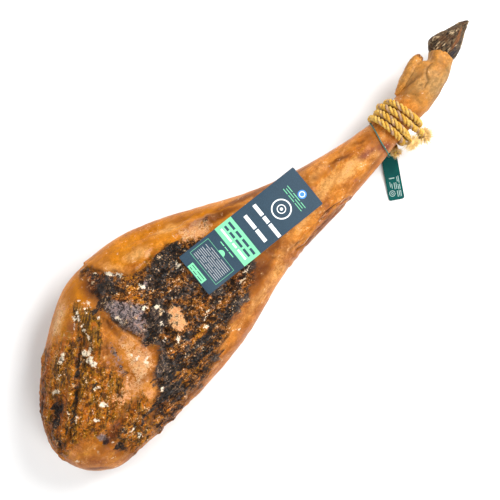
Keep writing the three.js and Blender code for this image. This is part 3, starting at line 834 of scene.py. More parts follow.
def leg_material():
    sh = Shader("cured_ham")
    at = sh.place()
    lean, char_and_shade, violet = sh.split(sh.attribute("zone_meat"))
    butt, olive, pale = sh.split(sh.attribute("zone_fat"))
    mould_and_highlight, orange, bruise = sh.split(sh.attribute("zone_spots"))
    rust, trotter, under = sh.split(sh.attribute("zone_ends"))
    crease_shade, rim, upper = sh.split(sh.attribute("zone_lines"))
    skin_highlight, brown_and_shade, knob = sh.split(sh.attribute("zone_skin"))
    broad = sh.noise(at, 20, 4, 0.6)
    mid = sh.noise(at, 85, 5, 0.65, 0.6)
    fine = sh.noise(at, 190, 5, 0.7, 0.5)
    speck = sh.noise(at, 430, 4, 0.7, 0.3)
    fibres = sh.noise(sh.turned(at, 0, (6, 1, 1.6)), 300, 4, 0.65, 0.3)
    butt_fibres = sh.noise(sh.turned(at, 34, (6, 1, 1.4)), 180, 6, 0.70, 0.6)
    low_fibres = sh.noise(sh.turned(at, -18, (6, 1, 1.5)), 170, 6, 0.70, 0.5)

    def centred(value, amount):
        return sh.math("MULTIPLY", sh.math("SUBTRACT", value, 0.5), amount)

    shake = sh.math("ADD", sh.math("ADD", centred(mid, 1.2), centred(fine, 1.5)), centred(speck, 0.9))

    def edged(mask, amount=1.0, low=0.38, high=0.62, by=shake):
        """A zone whose border and inside are broken up finer than the mesh."""
        return sh.rise(sh.math("ADD", mask, sh.math("MULTIPLY", by, amount)), low, high)

    def streaked(mask, by, amount, low, high):
        """The same with long streaks, which stay inside the zone."""
        return sh.math("MULTIPLY", edged(mask, amount, low, high, by), sh.rise(mask, 0.04, 0.30))

    skin = sh.mix(sh.rise(broad, 0.40, 0.62), AMBER, AMBER_DEEP)
    skin = sh.mix(sh.math("MULTIPLY", sh.rise(fibres, 0.44, 0.66), 0.55), skin, ORANGE)
    skin = sh.mix(sh.math("MULTIPLY", sh.rise(mid, 0.50, 0.66), 0.4), skin, AMBER_PALE)
    cloud = sh.noise(at, 38, 3, 0.55, 0.4)
    skin = sh.mix(sh.math("MULTIPLY", sh.rise(cloud, 0.54, 0.70), 0.40), skin, BLUSH)
    gold = sh.mix(sh.rise(broad, 0.38, 0.66), GOLD, GOLD_DEEP)
    gold = sh.mix(sh.math("MULTIPLY", sh.rise(fibres, 0.5, 0.7), 0.35), gold, AMBER)
    colour = sh.mix(upper, skin, gold)
    # painted highlights: a paler amber where the skin catches the light
    colour = sh.mix(sh.math("MULTIPLY", edged(skin_highlight, 0.5, 0.0, 1.0), 0.9), colour, AMBER_PALE)
    # darker brown where the patches lie, partly painted shade
    colour = sh.mix(sh.math("MULTIPLY", edged(brown_and_shade, 0.9, 0.0, 1.0), 0.5), colour, BROWN)
    flecks = sh.noise(sh.turned(at, -14, (3.5, 1, 1)), 150, 6, 0.72, 0.5)
    colour = sh.mix(sh.math("MULTIPLY", sh.rise(flecks, 0.56, 0.70), 0.5), colour, BROWN)
    colour = sh.mix(sh.math("MULTIPLY", sh.rise(flecks, 0.44, 0.32), 0.35), colour, AMBER_LIGHT)
    rind = sh.mix(edged(0.5, 1.4), AMBER_DEEP, OLIVE)
    rind = sh.mix(sh.math("MULTIPLY", edged(0.28, 1.4), 0.7), rind, OLIVE_PALE)
    rind = sh.mix(sh.math("MULTIPLY", sh.rise(broad, 0.50, 0.66), 0.7), rind, BROWN)
    colour = sh.mix(sh.math("MULTIPLY", under, 0.7), colour, rind)

    hide = sh.mix(sh.rise(broad, 0.36, 0.62), HIDE, HIDE_PALE)
    hide = sh.mix(sh.math("MULTIPLY", sh.rise(fine, 0.60, 0.72), 0.4), hide, HIDE_DARK)
    hide = sh.mix(sh.math("MULTIPLY", sh.rise(speck, 0.62, 0.68), 0.5), hide, HIDE_DARK)
    colour = sh.mix(trotter, colour, hide)

    mottle = sh.mix(sh.rise(butt_fibres, 0.42, 0.60), ORANGE, OLIVE)
    mottle = sh.mix(edged(0.30, 1.5), mottle, MEAT_RED)
    mottle = sh.mix(sh.math("MULTIPLY", sh.rise(fine, 0.56, 0.68), 0.8), mottle, AMBER_LIGHT)
    colour = sh.mix(edged(butt, 1.1), colour, mottle)
    olives = sh.mix(sh.rise(butt_fibres, 0.50, 0.62), OLIVE, OLIVE_DARK)
    olives = sh.mix(sh.math("MULTIPLY", sh.rise(butt_fibres, 0.46, 0.34), 0.8), olives, OLIVE_PALE)
    strands = sh.math("ADD", centred(butt_fibres, 3.4), centred(fine, 0.9))
    colour = sh.mix(streaked(olive, strands, 1.3, 0.38, 0.62), colour, olives)

    meat = sh.mix(edged(0.45, 1.5), MEAT, MEAT_RED)
    meat = sh.mix(edged(0.21, 2.6, by=centred(low_fibres, 1.0)), meat, ORANGE)
    meat = sh.mix(sh.math("MULTIPLY", edged(0.24, 1.6, by=centred(broad, 3.0)), 0.85), meat, SLATE)
    meat = sh.mix(sh.math("MULTIPLY", sh.rise(speck, 0.60, 0.70), 0.7), meat, OLIVE_PALE)
    colour = sh.mix(edged(lean, 1.2), colour, meat)

    colour = sh.mix(edged(orange, 1.6, 0.45, 0.72), colour, sh.mix(sh.rise(fine, 0.42, 0.60), ORANGE, OLIVE))
    # black meat, partly painted shade along the butt's crevice
    char_and_shade_colour = sh.mix(sh.rise(fine, 0.50, 0.66), BLACK, SLATE)
    char_and_shade_colour = sh.mix(sh.math("MULTIPLY", sh.rise(speck, 0.54, 0.66), 0.8), char_and_shade_colour, MEAT_RED)
    streaks = sh.math("ADD", centred(low_fibres, 3.2), centred(fine, 1.2))
    colour = sh.mix(streaked(char_and_shade, streaks, 1.2, 0.38, 0.66), colour, char_and_shade_colour)
    silver = sh.mix(sh.rise(mid, 0.46, 0.64), VIOLET_GREY, SLATE)
    silver = sh.mix(sh.math("MULTIPLY", sh.rise(fine, 0.54, 0.68), 0.7), silver, MEAT_RED)
    colour = sh.mix(sh.math("MULTIPLY", edged(violet, 1.1, 0.40, 0.86), 0.92), colour, silver)

    fat_and_highlight = sh.mix(sh.rise(mid, 0.38, 0.56), CREAM, PEACH)
    fat_and_highlight = sh.mix(sh.math("MULTIPLY", edged(0.34, 1.3), 0.85), fat_and_highlight, BLUSH)
    fat_and_highlight = sh.mix(sh.math("MULTIPLY", sh.rise(fine, 0.52, 0.66), 0.7), fat_and_highlight, MEAT_RED)
    # pale fat and painted highlights
    colour = sh.mix(edged(pale, 1.5, 0.36, 0.86), colour, fat_and_highlight)
    torn = sh.mix(sh.rise(low_fibres, 0.42, 0.56), BLUSH, RUST)
    torn = sh.mix(sh.math("MULTIPLY", sh.rise(fibres, 0.54, 0.66), 0.8), torn, CREAM)
    colour = sh.mix(edged(rust, 1.4, 0.40, 0.70), colour, torn)
    colour = sh.mix(sh.math("MULTIPLY", bruise, 0.8), colour, WINE)
    # off-white mould and painted highlights
    colour = sh.mix(edged(mould_and_highlight, 1.8, 0.55, 0.75), colour, MOULD_AND_HIGHLIGHT)

    # cream crumbs on the lean and the butt, partly painted glints
    crumbs_and_glints = sh.math("MULTIPLY", sh.rise(speck, 0.60, 0.66), sh.math("MAXIMUM", lean, sh.math("MULTIPLY", butt, 1.3)))
    crumbs_and_glints = sh.math("MULTIPLY", crumbs_and_glints, sh.rise(mid, 0.47, 0.57), True)
    colour = sh.mix(sh.math("MULTIPLY", crumbs_and_glints, 0.9), colour, CREAM)
    pits = sh.rise(sh.noise(at, 520, 2, 0.5), 0.68, 0.73)
    colour = sh.mix(sh.math("MULTIPLY", pits, 0.6), colour, OLIVE_DARK)
    colour = sh.mix(sh.math("MULTIPLY", edged(rim, 1.4), 0.8), colour, CREAM)
    # painted shade in the creases
    colour = sh.mix(sh.math("MULTIPLY", crease_shade, 0.85), colour, OLIVE_DARK)
    # a darker tint where the patches lie, partly painted shade at the edges and in the folds
    colour = sh.mix(sh.math("MULTIPLY", edged(brown_and_shade, 0.8, 0.0, 1.0), 0.9), colour, BROWN_AND_SHADE_TINT, "MULTIPLY")
    colour = sh.mix(1.0, colour, sh.blend(broad, 1.35, 0.72), "MULTIPLY")

    crusty = sh.math("MAXIMUM", lean, sh.math("MULTIPLY", butt, 1.1), True)
    crusty = sh.math("SUBTRACT", crusty, sh.math("MULTIPLY", pale, 0.5), True)
    crusty = sh.math("MAXIMUM", crusty, sh.math("MULTIPLY", trotter, 0.12))
    # painted shade in the low spots of the same noise that makes the bump, and painted light on its high spots,
    # strongest on the crust
    bump_light_and_shade = sh.rise(shake, -0.20, 0.20)
    low, high = sh.blend(crusty, 0.78, 0.20), sh.blend(crusty, 1.12, 1.60)
    colour = sh.mix(1.0, colour, sh.blend(bump_light_and_shade, low, high), "MULTIPLY")
    rough = sh.blend(crusty, sh.blend(mid, 0.28, 0.48), sh.blend(fine, 0.10, 0.75))
    rough = sh.blend(mould_and_highlight, rough, 0.85)
    rough = sh.blend(sh.math("MULTIPLY", violet, 0.8), rough, 0.24)
    rough = sh.blend(trotter, rough, 0.5)
    height = sh.blend(crusty, sh.math("MULTIPLY", fibres, 0.4), sh.math("ADD", fine, mid))
    height = sh.math("ADD", height, sh.math("MULTIPLY", speck, sh.blend(crusty, 0.12, 0.4)))
    height = sh.math("MULTIPLY", height, sh.blend(crusty, 0.5, 1.0))
    normal = sh.bump(height, 0.0034, 1.0)
    return sh.finish(Base_Color=colour, Roughness=rough, Normal=normal, Specular_IOR_Level=0.11,
                     Coat_Weight=sh.math("MULTIPLY", crusty, 0.16), Coat_Roughness=0.20,
                     Subsurface_Weight=0.08, Subsurface_Radius=(0.006, 0.0025, 0.001), Subsurface_Scale=1.0)


# ---------------------------------------------------------------- hoof and dewclaws

# Each claw's sections, in mm: [x, -Y edge, +Y edge, underside, top]
NEAR_CLAW = [
    [352, -54, -40, 50, 62], [358, -58, -32, 43, 72], [365, -61, -28.5, 39, 75], [376, -62, -31, 37.6, 74],
    [394, -60.5, -37.8, 37.6, 68], [409, -57.5, -42.8, 39, 60], [418, -54.5, -46.3, 43, 54],
    [423, -52.4, -49.4, 47, 50.5],
]
FAR_CLAW = [
    [352, -67, -58, 40, 53], [359, -71, -56, 33, 62], [372, -72.5, -53, 30.5, 64], [385, -70.2, -52, 31.5, 61],
    [397, -65, -51, 34, 57.5], [408, -59.5, -50.5, 37, 54], [416, -55, -50.5, 41, 51.5], [422, -52, -50, 45, 49],
]
CLAW_RINGS = 84
CLAW_SIDES = 72


def loft(stations, rings, sides, power=2.2):
    """Rounded sections through stations, smoothed between, with the angle of each point."""
    stations = np.array(stations, float)
    path, _ = smooth_path(stations[:, [0, 1, 2]], 200)
    heights, _ = smooth_path(stations[:, [0, 3, 4]], 200)
    places = np.linspace(stations[0, 0], stations[-1, 0], rings)
    low_y, high_y = (np.interp(places, path[:, 0], path[:, k])[:, None] for k in (1, 2))
    low_z, high_z = (np.interp(places, heights[:, 0], heights[:, k])[:, None] for k in (1, 2))
    angle = np.linspace(0, 2 * np.pi, sides, endpoint=False)[None]
    c, s = np.cos(angle), np.sin(angle)
    y = (low_y + high_y) / 2 + (high_y - low_y) / 2 * np.sign(c) * np.abs(c) ** (2 / power)
    z = (low_z + high_z) / 2 + (high_z - low_z) / 2 * np.sign(s) * np.abs(s) ** (2 / power)
    x = np.repeat(places[:, None], sides, 1)
    return np.stack([x, y, z], 2)


def make_claw(name, stations, flaky, seed, material):
    """Horn with growth rings round it and flakes along it."""
    form = loft(stations, CLAW_RINGS, CLAW_SIDES)
    normals = normals_of(form).reshape(-1, 3)
    points = form.reshape(-1, 3)
    rings = noise(points * (1, 0.12, 0.12), 3.4, seed, 2)
    strands = noise(points * (0.12, 1, 1), 2.6, seed + 1, 2)
    flakes = np.clip(noise(points * (0.5, 1, 1), 7, seed + 2, 3), -0.4, 0.9)
    relief = 0.45 * rings + 0.45 * strands + flaky * flakes
    points = points + normals * relief[:, None]
    claw = make_mesh(name, points * MM, ring_faces(CLAW_RINGS, CLAW_SIDES), material)
    set_attribute(claw, "flake", "FLOAT", np.clip(flakes, 0, 1))
    return stand_for(claw, "leg")


HORN = (0.008, 0.005, 0.003)
HORN_GREY = (0.125, 0.080, 0.040)
HORN_BROWN = (0.075, 0.030, 0.009)
HORN_BLUE = (0.020, 0.018, 0.024)
HORN_FLAKE_HIGHLIGHT = (0.42, 0.30, 0.17)


def horn_material(name, stripe):
    """Grey-brown horn, with a rusty stripe down one edge where stripe is more than 0."""
    sh = Shader(name)
    at = sh.place()
    strands = sh.noise(sh.turned(at, -6, (9, 1, 1)), 520, 4, 0.6)
    rings = sh.noise(sh.turned(at, -6, (1, 9, 9)), 300, 3, 0.6)
    blotch = sh.noise(at, 130, 4, 0.6, 0.5)
    flake = sh.attribute("flake", "Fac")
    colour = sh.mix(sh.rise(strands, 0.42, 0.62), HORN if stripe else HORN_BLUE, HORN_GREY)
    colour = sh.mix(sh.math("MULTIPLY", sh.rise(blotch, 0.46, 0.62), 0.7), colour, HORN_BROWN if stripe else HORN)
    # painted highlights on the raised flakes
    flake_highlights = sh.math("MULTIPLY", sh.rise(flake, 0.12, 0.45), sh.rise(strands, 0.46, 0.56))
    colour = sh.mix(sh.math("MULTIPLY", flake_highlights, 0.9), colour, HORN_FLAKE_HIGHLIGHT)
    if stripe:
        x, y, _ = sh.split_place(at)
        line = sh.math("ADD", sh.math("MULTIPLY", x, 0.42), -0.2215)
        away = sh.math("SUBTRACT", y, line)
        width = sh.math("MULTIPLY", sh.math("SUBTRACT", 0.412, x), 0.17)
        inside = sh.rise(sh.math("DIVIDE", sh.math("ABSOLUTE", away), width), 1.0, 0.6)
        inside = sh.math("MULTIPLY", inside, sh.rise(x, 0.413, 0.405))
        colour = sh.mix(inside, colour, sh.mix(sh.rise(strands, 0.4, 0.6), (0.20, 0.080, 0.026), (0.095, 0.032, 0.011)))
    rough = sh.blend(blotch, 0.45, 0.8)
    height = sh.math("ADD", strands, sh.math("MULTIPLY", rings, 0.7))
    normal = sh.bump(height, 0.0012, 1.0)
    return sh.finish(Base_Color=colour, Roughness=rough, Normal=normal, Specular_IOR_Level=0.12)


# Dewclaws, from the hock outward: [x, -Y edge, +Y edge, underside, top]
UPPER_DEWCLAW = [
    [276, -52, -43, 52, 62], [286, -50, -38, 51, 68], [298, -48.5, -33.5, 52, 72], [310, -47, -30.3, 54, 73],
    [322, -45.5, -27.5, 55, 72], [330, -43.5, -27, 56, 70], [336, -40.5, -29.5, 57.5, 67.5],
    [338.5, -38.5, -32, 59.5, 65.5],
]
LOWER_DEWCLAW = [
    [296, -80, -66, 30, 42], [306, -84, -66, 27, 43], [318, -84, -68, 26, 42], [330, -82, -69, 27, 40],
    [338, -79, -72, 30, 37],
]


def make_dewclaw(name, stations, seed, material):
    """A blunt horny stub with a torn tip."""
    form = loft(stations, 60, 48)
    normals = normals_of(form).reshape(-1, 3)
    points = form.reshape(-1, 3)
    torn = smoothstep(stations[-1][0] - 7, stations[-1][0] - 1, points[:, 0])
    relief = 0.9 * noise(points, 9, seed, 3) + torn * 1.6 * noise(points, 4, seed + 1, 2)
    points = points + normals * relief[:, None]
    stub = make_mesh(name, points * MM, ring_faces(60, 48), material)
    blank, full = np.zeros(len(points)), np.ones(len(points))
    set_attribute(stub, "zone_ends", "FLOAT_COLOR", np.stack([blank, full, blank, full], 1))
    set_attribute(stub, "zone_meat", "FLOAT_COLOR", np.stack([torn * 0.8, blank, blank, full], 1))
    return stand_for(stub, "leg")


# ---------------------------------------------------------------- rope and string


def swept(centres, sides_way, ups_way, radii, count, turn=0.0):
    """Rings of points round a path, with a radius for each ring, or for each ring and side."""
    angle = np.linspace(0, 2 * np.pi, count, endpoint=False)[None] + turn
    radii = np.broadcast_to(np.asarray(radii).reshape(len(centres), -1), (len(centres), count))
    across = sides_way[:, None] * np.cos(angle)[..., None] + ups_way[:, None] * np.sin(angle)[..., None]
    return centres[:, None] + across * radii[..., None]


class Bundle:
    """Closed tubes gathered into one mesh, with a number carried by each."""

    def __init__(self):
        self.points, self.faces, self.marks = [], [], []
        self.count = 0

    def add(self, rings, mark):
        """Adds one tube, and a mark for it or for each of its points."""
        length, count, _ = rings.shape
        self.points.append(rings.reshape(-1, 3))
        self.faces += ring_faces(length, count, self.count)
        self.marks.append(np.broadcast_to(mark, length * count))
        self.count += length * count

    def fibre(self, points, radius, mark, steps=7, count=4):
        """A tapering fibre through a few points."""
        path, _ = smooth_path(points, steps)
        side, up = frames_along(path)
        taper = radius * (1 - 0.8 * np.linspace(0, 1, len(path)) ** 2)
        self.add(swept(path, side, up, taper, count), mark)

    def make(self, name, material, mark):
        piece = make_mesh(name, np.concatenate(self.points) * MM, self.faces, material)
        set_attribute(piece, mark, "FLOAT", np.concatenate(self.marks))
        return piece


def lay_strands(bundle, path, length, diameter, strands, lay, yarns, seed):
    """Strands laid round each other along a path, with the grooves between their own yarns."""
    side, up = frames_along(path)
    run = np.linspace(0, length, len(path))
    radius = diameter * (0.232 if strands > 2 else 0.34)
    offset = diameter / 2 - radius
    ahead = np.cross(side, up)
    for strand in range(strands):
        turn = 2 * np.pi * (run / lay + strand / strands)
        out = side * np.cos(turn)[:, None] + up * np.sin(turn)[:, None]
        wander = 1 + 0.09 * noise(np.stack([run, run * 0, run * 0 + 9 * strand], 1), 11, seed)
        centres = path + out * (offset * wander)[:, None]
        count = 16 if yarns else 8
        angle = np.linspace(0, 2 * np.pi, count, endpoint=False)[None]
        twist = -2 * np.pi * run[:, None] / (lay * 0.62)
        groove = 0.10 * np.abs(np.cos((angle + twist) * yarns / 2)) if yarns else 0 * angle
        rings_at = np.stack([np.repeat(run[:, None], count, 1), np.broadcast_to(angle * 3, (len(run), count)),
                             np.full((len(run), count), 5.0 * strand)], 2).reshape(-1, 3)
        rough = 0.09 * noise(rings_at, 1.6, seed + 3).reshape(len(run), count)
        radii = radius * (1.06 * wander[:, None] + groove - 0.06 + rough * (yarns > 0))
        across = np.cross(ahead, out)
        mark = np.full(len(run) * count, 0.5)
        if yarns:
            mark = np.full(len(run) * count, float(strand == 0))
        bundle.add(swept(centres, out, across, radii, count), mark)


# The rope's turns round the ankle, as in the CAD: [turns, place along the ankle from ROPE_PLACE], in mm
ROPE_DIAMETER = 8.6
ROPE_GAP = 0.9
ROPE_PLACE = 231
ROPE_TURNS = [
    [-0.36, -4], [-0.25, -3.6], [0, -2], [0.25, 0], [0.5, 2], [0.75, 5], [1, 9], [1.25, 10.7], [1.5, 12.4],
    [1.75, 20], [2, 28.4], [2.25, 33], [2.5, 36.6], [2.75, 30], [3, 18.8], [3.25, 22.4], [3.4, 24.6],
]
CROSSING, CROSSING_WIDTH = 2.82, 0.16
FIRST_TAIL = [[-14, 10.4, -13.5], [-8, 4.9, -18]]
LAST_TAIL = [[28, 7.9, 7], [31, 14.9, -3], [32.5, 20.4, -12]]
WIDEST_HEIGHT = 0.46
ROPE_LAY = 21
ROPE_STEPS = 760


def rope_path(skin):
    """The rope's centre line, where the CAD has it."""
    sections = {}

    def section(place):
        key = round(place, 1)
        if key not in sections:
            y, z, half_y, half_z = skin.section(key)
            sections[key] = y, half_y, z - half_z + 2 * half_z * WIDEST_HEIGHT, 2 * half_z
        return sections[key]

    def tail(rows):
        y, half, waist, _ = section(ROPE_PLACE)
        return [[ROPE_PLACE + along, y - half - out, waist + height] for along, out, height in rows]

    turn_table = np.array(ROPE_TURNS)
    turn_curve, _ = smooth_path(np.c_[turn_table, turn_table[:, 0] * 0], 400)
    winding = []
    for turns in np.arange(ROPE_TURNS[0][0], ROPE_TURNS[-1][0] + 1e-6, 1 / 20):
        place = ROPE_PLACE + np.interp(turns, turn_curve[:, 0], turn_curve[:, 1])
        y, half, waist, tall = section(place)
        angle = turns * 2 * math.pi
        c, s = math.cos(angle), math.sin(angle)
        reach = tall * ((1 - WIDEST_HEIGHT) if s > 0 else WIDEST_HEIGHT)
        power = 2 / 2.12
        over = math.exp(-(((turns - CROSSING) / CROSSING_WIDTH) ** 2))
        standoff = ROPE_DIAMETER / 2 + ROPE_GAP + (ROPE_DIAMETER + ROPE_GAP) * over
        winding.append([place, y + half * math.copysign(abs(c) ** power, c) + c * standoff,
                        waist + reach * math.copysign(abs(s) ** power, s) + s * standoff])
    return smooth_path(tail(FIRST_TAIL) + winding + tail(LAST_TAIL), ROPE_STEPS)


def add_tuft(bundle, end, way, spread, length, count, draw):
    """Unlaid yarns at a cut end, splayed into a ball."""
    way = way / np.linalg.norm(way)
    side = np.cross(way, [0.0, 0.0, 1.0])
    side /= np.linalg.norm(side)
    up = np.cross(side, way)
    for _ in range(count):
        angle, share = draw.uniform(0, 2 * np.pi), math.sqrt(draw.uniform(0, 1))
        out = side * math.cos(angle) + up * math.sin(angle)
        start = end - way * draw.uniform(5, 8) + out * share * 2.4
        tilt = share * spread
        aim = way * math.cos(tilt) + out * math.sin(tilt)
        reach = length * draw.uniform(0.6, 1.0) * (1.15 - 0.35 * share)
        curl = draw.normal(size=3) * reach * 0.10
        points = [start, start + way * reach * 0.3 + out * share * 1.2 + curl * 0.3,
                  start + aim * reach * 0.75 + curl, start + aim * reach + curl + draw.normal(size=3) * reach * 0.09]
        bundle.fibre(points, draw.uniform(0.25, 0.62), 2.0 + draw.uniform(0, 0.5))


def add_fuzz(bundle, path, count, draw):
    """Fine hairs that stand out from the rope."""
    side, up = frames_along(path)
    ahead = np.cross(side, up)
    for _ in range(count):
        at = draw.randint(8, len(path) - 8)
        angle = draw.uniform(0, 2 * np.pi)
        out = side[at] * math.cos(angle) + up[at] * math.sin(angle)
        lean = ahead[at] * draw.normal() * 1.4 + draw.normal(size=3) * 0.5
        start = path[at] + out * ROPE_DIAMETER * 0.38
        reach = draw.uniform(1.2, 3.6)
        points = [start, start + out * reach * 0.5 + lean * 0.6, start + out * reach * 0.8 + lean * reach * 0.8]
        bundle.fibre(points, 0.11, 2.2, 4, 3)


def make_rope(skin, material):
    path, length = rope_path(skin)
    draw = np.random.RandomState(5)
    bundle = Bundle()
    lay_strands(bundle, path, length, 1.06 * ROPE_DIAMETER, 3, ROPE_LAY, 6, 40)
    last_way, first_way = path[-1] - path[-6], path[0] - path[5]
    add_tuft(bundle, path[-1] + last_way, last_way, 1.35, 17, 420, draw)
    add_tuft(bundle, path[0], first_way, 1.5, 10, 320, draw)
    spare = np.array([[239.0, -84, 77], [240, -95, 74], [240.5, -103, 66], [240.5, -108, 58]])
    strand, strand_length = smooth_path(spare, 40)
    lay_strands(bundle, strand, strand_length, 4.4, 3, 16, 0, 50)
    add_tuft(bundle, strand[-1], strand[-1] - strand[-5], 1.4, 15, 360, draw)
    add_fuzz(bundle, path, 900, draw)
    rope = bundle.make("rope_winding", material, "yarn")
    return stand_for(rope, "rope")


STRAW = (0.58, 0.30, 0.020)
STRAW_PALE = (0.66, 0.43, 0.095)
STRAW_DEEP = (0.28, 0.125, 0.012)
MAUVE = (0.40, 0.25, 0.17)
MAUVE_DEEP = (0.22, 0.12, 0.09)
LOOSE_STRAW = (0.94, 0.70, 0.32)


def rope_material():
    sh = Shader("laid_hemp")
    at = sh.place()
    yarn = sh.attribute("yarn", "Fac")
    blotch = sh.noise(at, 90, 4, 0.6)
    fibre = sh.noise(at, 900, 4, 0.7, 0.6)
    colour = sh.mix(sh.rise(blotch, 0.36, 0.66), STRAW, STRAW_PALE)
    colour = sh.mix(sh.rise(fibre, 0.52, 0.68), colour, STRAW_DEEP)
    traced = sh.math("MULTIPLY", sh.rise(yarn, 0.5, 0.9), sh.rise(yarn, 1.6, 1.2))
    mauve = sh.mix(sh.rise(fibre, 0.46, 0.60), MAUVE, MAUVE_DEEP)
    traced = sh.math("MULTIPLY", traced, sh.rise(blotch, 0.62, 0.46))
    colour = sh.mix(sh.math("MULTIPLY", traced, 0.85), colour, mauve)
    loose = sh.rise(yarn, 1.6, 2.0)
    colour = sh.mix(sh.math("MULTIPLY", loose, 0.8), colour, LOOSE_STRAW)
    normal = sh.bump(fibre, 0.0007, 0.8)
    return sh.finish(Base_Color=colour, Roughness=sh.blend(fibre, 0.7, 0.95), Normal=normal,
                     Subsurface_Weight=0.1, Subsurface_Radius=(0.003, 0.002, 0.001))


# The string's route, as in the CAD, in mm: from under the rope, over the turns, down through the tag and back
STRING_DIAMETER = 1.6
STRING_ROUTE = [
    [221.6, -45.4, 59.5], [221.2, -45.8, 63.8], [219.8, -48.2, 69.4], [217.6, -53.0, 74.8],
    [214.6, -60.0, 79.4], [211.4, -68.0, 81.2], [208.6, -76.2, 80.3], [206.8, -85.0, 76.2],
    [206.0, -92.0, 68.2], [206.4, -95.2, 57.0], [208.0, -96.0, 46.0], [210.4, -96.8, 35.0],
    [212.4, -97.4, 24.0], [213.4, -97.8, 13.0], [213.5, -98.1, 6.0], [214.1, -97.3, 2.5],
    [216.1, -94.7, 1.0], [218.1, -92.1, 2.5], [218.9, -91.1, 6.0], [219.6, -89.9, 13.0],
    [220.6, -87.0, 20.0], [221.4, -82.0, 25.6], [221.7, -76.4, 28.2],
]


def make_string(material):
    path, length = smooth_path(STRING_ROUTE, 340)
    bundle = Bundle()
    lay_strands(bundle, path, length, 1.2 * STRING_DIAMETER, 2, 5.0, 0, 60)
    string = bundle.make("tag_string_twine", material, "ply")
    stand_for(string, "tag_string")
    return string


def string_material():
    sh = Shader("green_twine")
    at = sh.place()
    fibre = sh.noise(at, 1800, 3, 0.6)
    blotch = sh.noise(at, 160, 3, 0.5)
    colour = sh.mix(sh.rise(blotch, 0.35, 0.65), (0.004, 0.105, 0.088), (0.010, 0.16, 0.135))
    colour = sh.mix(sh.rise(fibre, 0.55, 0.7), colour, (0.05, 0.20, 0.16))
    normal = sh.bump(fibre, 0.0003, 0.7)
    return sh.finish(Base_Color=colour, Roughness=sh.blend(fibre, 0.5, 0.8), Normal=normal)


# ---------------------------------------------------------------- tag and card

PRINT_WHITE = (0.86, 0.88, 0.88)
MINT = (0.19, 0.64, 0.34)
CARD_SLATE = (0.026, 0.056, 0.086)
TAG_GREEN = (0.0002, 0.058, 0.056)
TAG_LOW_END = (175.1, -148.7)
TAG_TURN = 53


class Print:
    """Plain shapes drawn on a flat surface from its own two coordinates, in mm."""

    def __init__(self, shader, u, v, soft):
        self.sh, self.u, self.v, self.soft = shader, u, v, soft

    def inside(self, distance):
        return self.sh.rise(distance, -self.soft, self.soft)

    def box(self, u_low, u_high, v_low, v_high):
        sh = self.sh
        du = sh.math("SUBTRACT", (u_high - u_low) / 2,
                     sh.math("ABSOLUTE", sh.math("SUBTRACT", self.u, (u_low + u_high) / 2)))
        dv = sh.math("SUBTRACT", (v_high - v_low) / 2,
                     sh.math("ABSOLUTE", sh.math("SUBTRACT", self.v, (v_low + v_high) / 2)))
        return self.inside(sh.math("MINIMUM", du, dv))

    def from_centre(self, u, v):
        sh = self.sh
        du = sh.math("POWER", sh.math("SUBTRACT", self.u, u), 2)
        dv = sh.math("POWER", sh.math("SUBTRACT", self.v, v), 2)
        return sh.math("SQRT", sh.math("ADD", du, dv))

    def disc(self, u, v, radius):
        return self.inside(self.sh.math("SUBTRACT", radius, self.from_centre(u, v)))

    def ring(self, u, v, radius, line):
        away = self.sh.math("ABSOLUTE", self.sh.math("SUBTRACT", self.from_centre(u, v), radius - line / 2))
        return self.inside(self.sh.math("SUBTRACT", line / 2, away))

    def several(self, shapes):
        total = shapes[0]
        for shape in shapes[1:]:
            total = self.sh.math("MAXIMUM", total, shape)
        return total

    def bars(self, rows):
        """Plain bars in place of words: [u low, u high, v ends of each bar in turn]."""
        return self.several([self.box(row[0], row[1], low, high)
                             for row in rows for low, high in zip(row[2::2], row[3::2])])


def dot_with(sh, at, row, offset):
    """A plane coordinate: x and y in metres, each times its factor, plus an offset."""
    x, y, _ = sh.split_place(at)
    return sh.math("ADD", sh.math("ADD", sh.math("MULTIPLY", x, row[0]), sh.math("MULTIPLY", y, row[1])), offset)


def tag_material():
    """Green plastic with a ring and some pale bars near its low end."""
    sh = Shader("green_tag_plastic")
    at = sh.place()
    c, s = math.cos(math.radians(TAG_TURN)), math.sin(math.radians(TAG_TURN))
    x, y = TAG_LOW_END
    along = dot_with(sh, at, (c / MM, s / MM), -(x * c + y * s))
    across = dot_with(sh, at, (-s / MM, c / MM), x * s - y * c)
    marks = Print(sh, along, across, 0.12)
    pale = marks.several([
        marks.ring(10, 4.8, 4.4, 0.9), marks.ring(10, 4.8, 1.9, 0.7),
        marks.bars([[4, 13, -8.2, -7.2, -6, -5, -3.4, -2.4], [14.5, 22, -8.2, -7.2, -6, -5],
                    [15.5, 25, -3.4, -2.4, -0.8, 0.2], [23.5, 34, -8.2, -7.2], [26, 33, -6, -5],
                    [31, 32.6, -2, 6], [17, 24, 3, 3.9], [19, 27, 5.2, 6.1]]),
    ])
    wear = sh.noise(at, 420, 4, 0.6)
    cloud = sh.noise(at, 60, 3, 0.5)
    colour = sh.mix(sh.rise(cloud, 0.35, 0.65), TAG_GREEN, (0.001, 0.080, 0.070))
    colour = sh.mix(sh.math("MULTIPLY", pale, sh.rise(wear, 0.30, 0.42)), colour, (0.36, 0.50, 0.47))
    normal = sh.bump(wear, 0.0002, 0.3)
    return sh.finish(Base_Color=colour, Roughness=sh.blend(wear, 0.4, 0.6), Normal=normal,
                     Specular_IOR_Level=0.12)


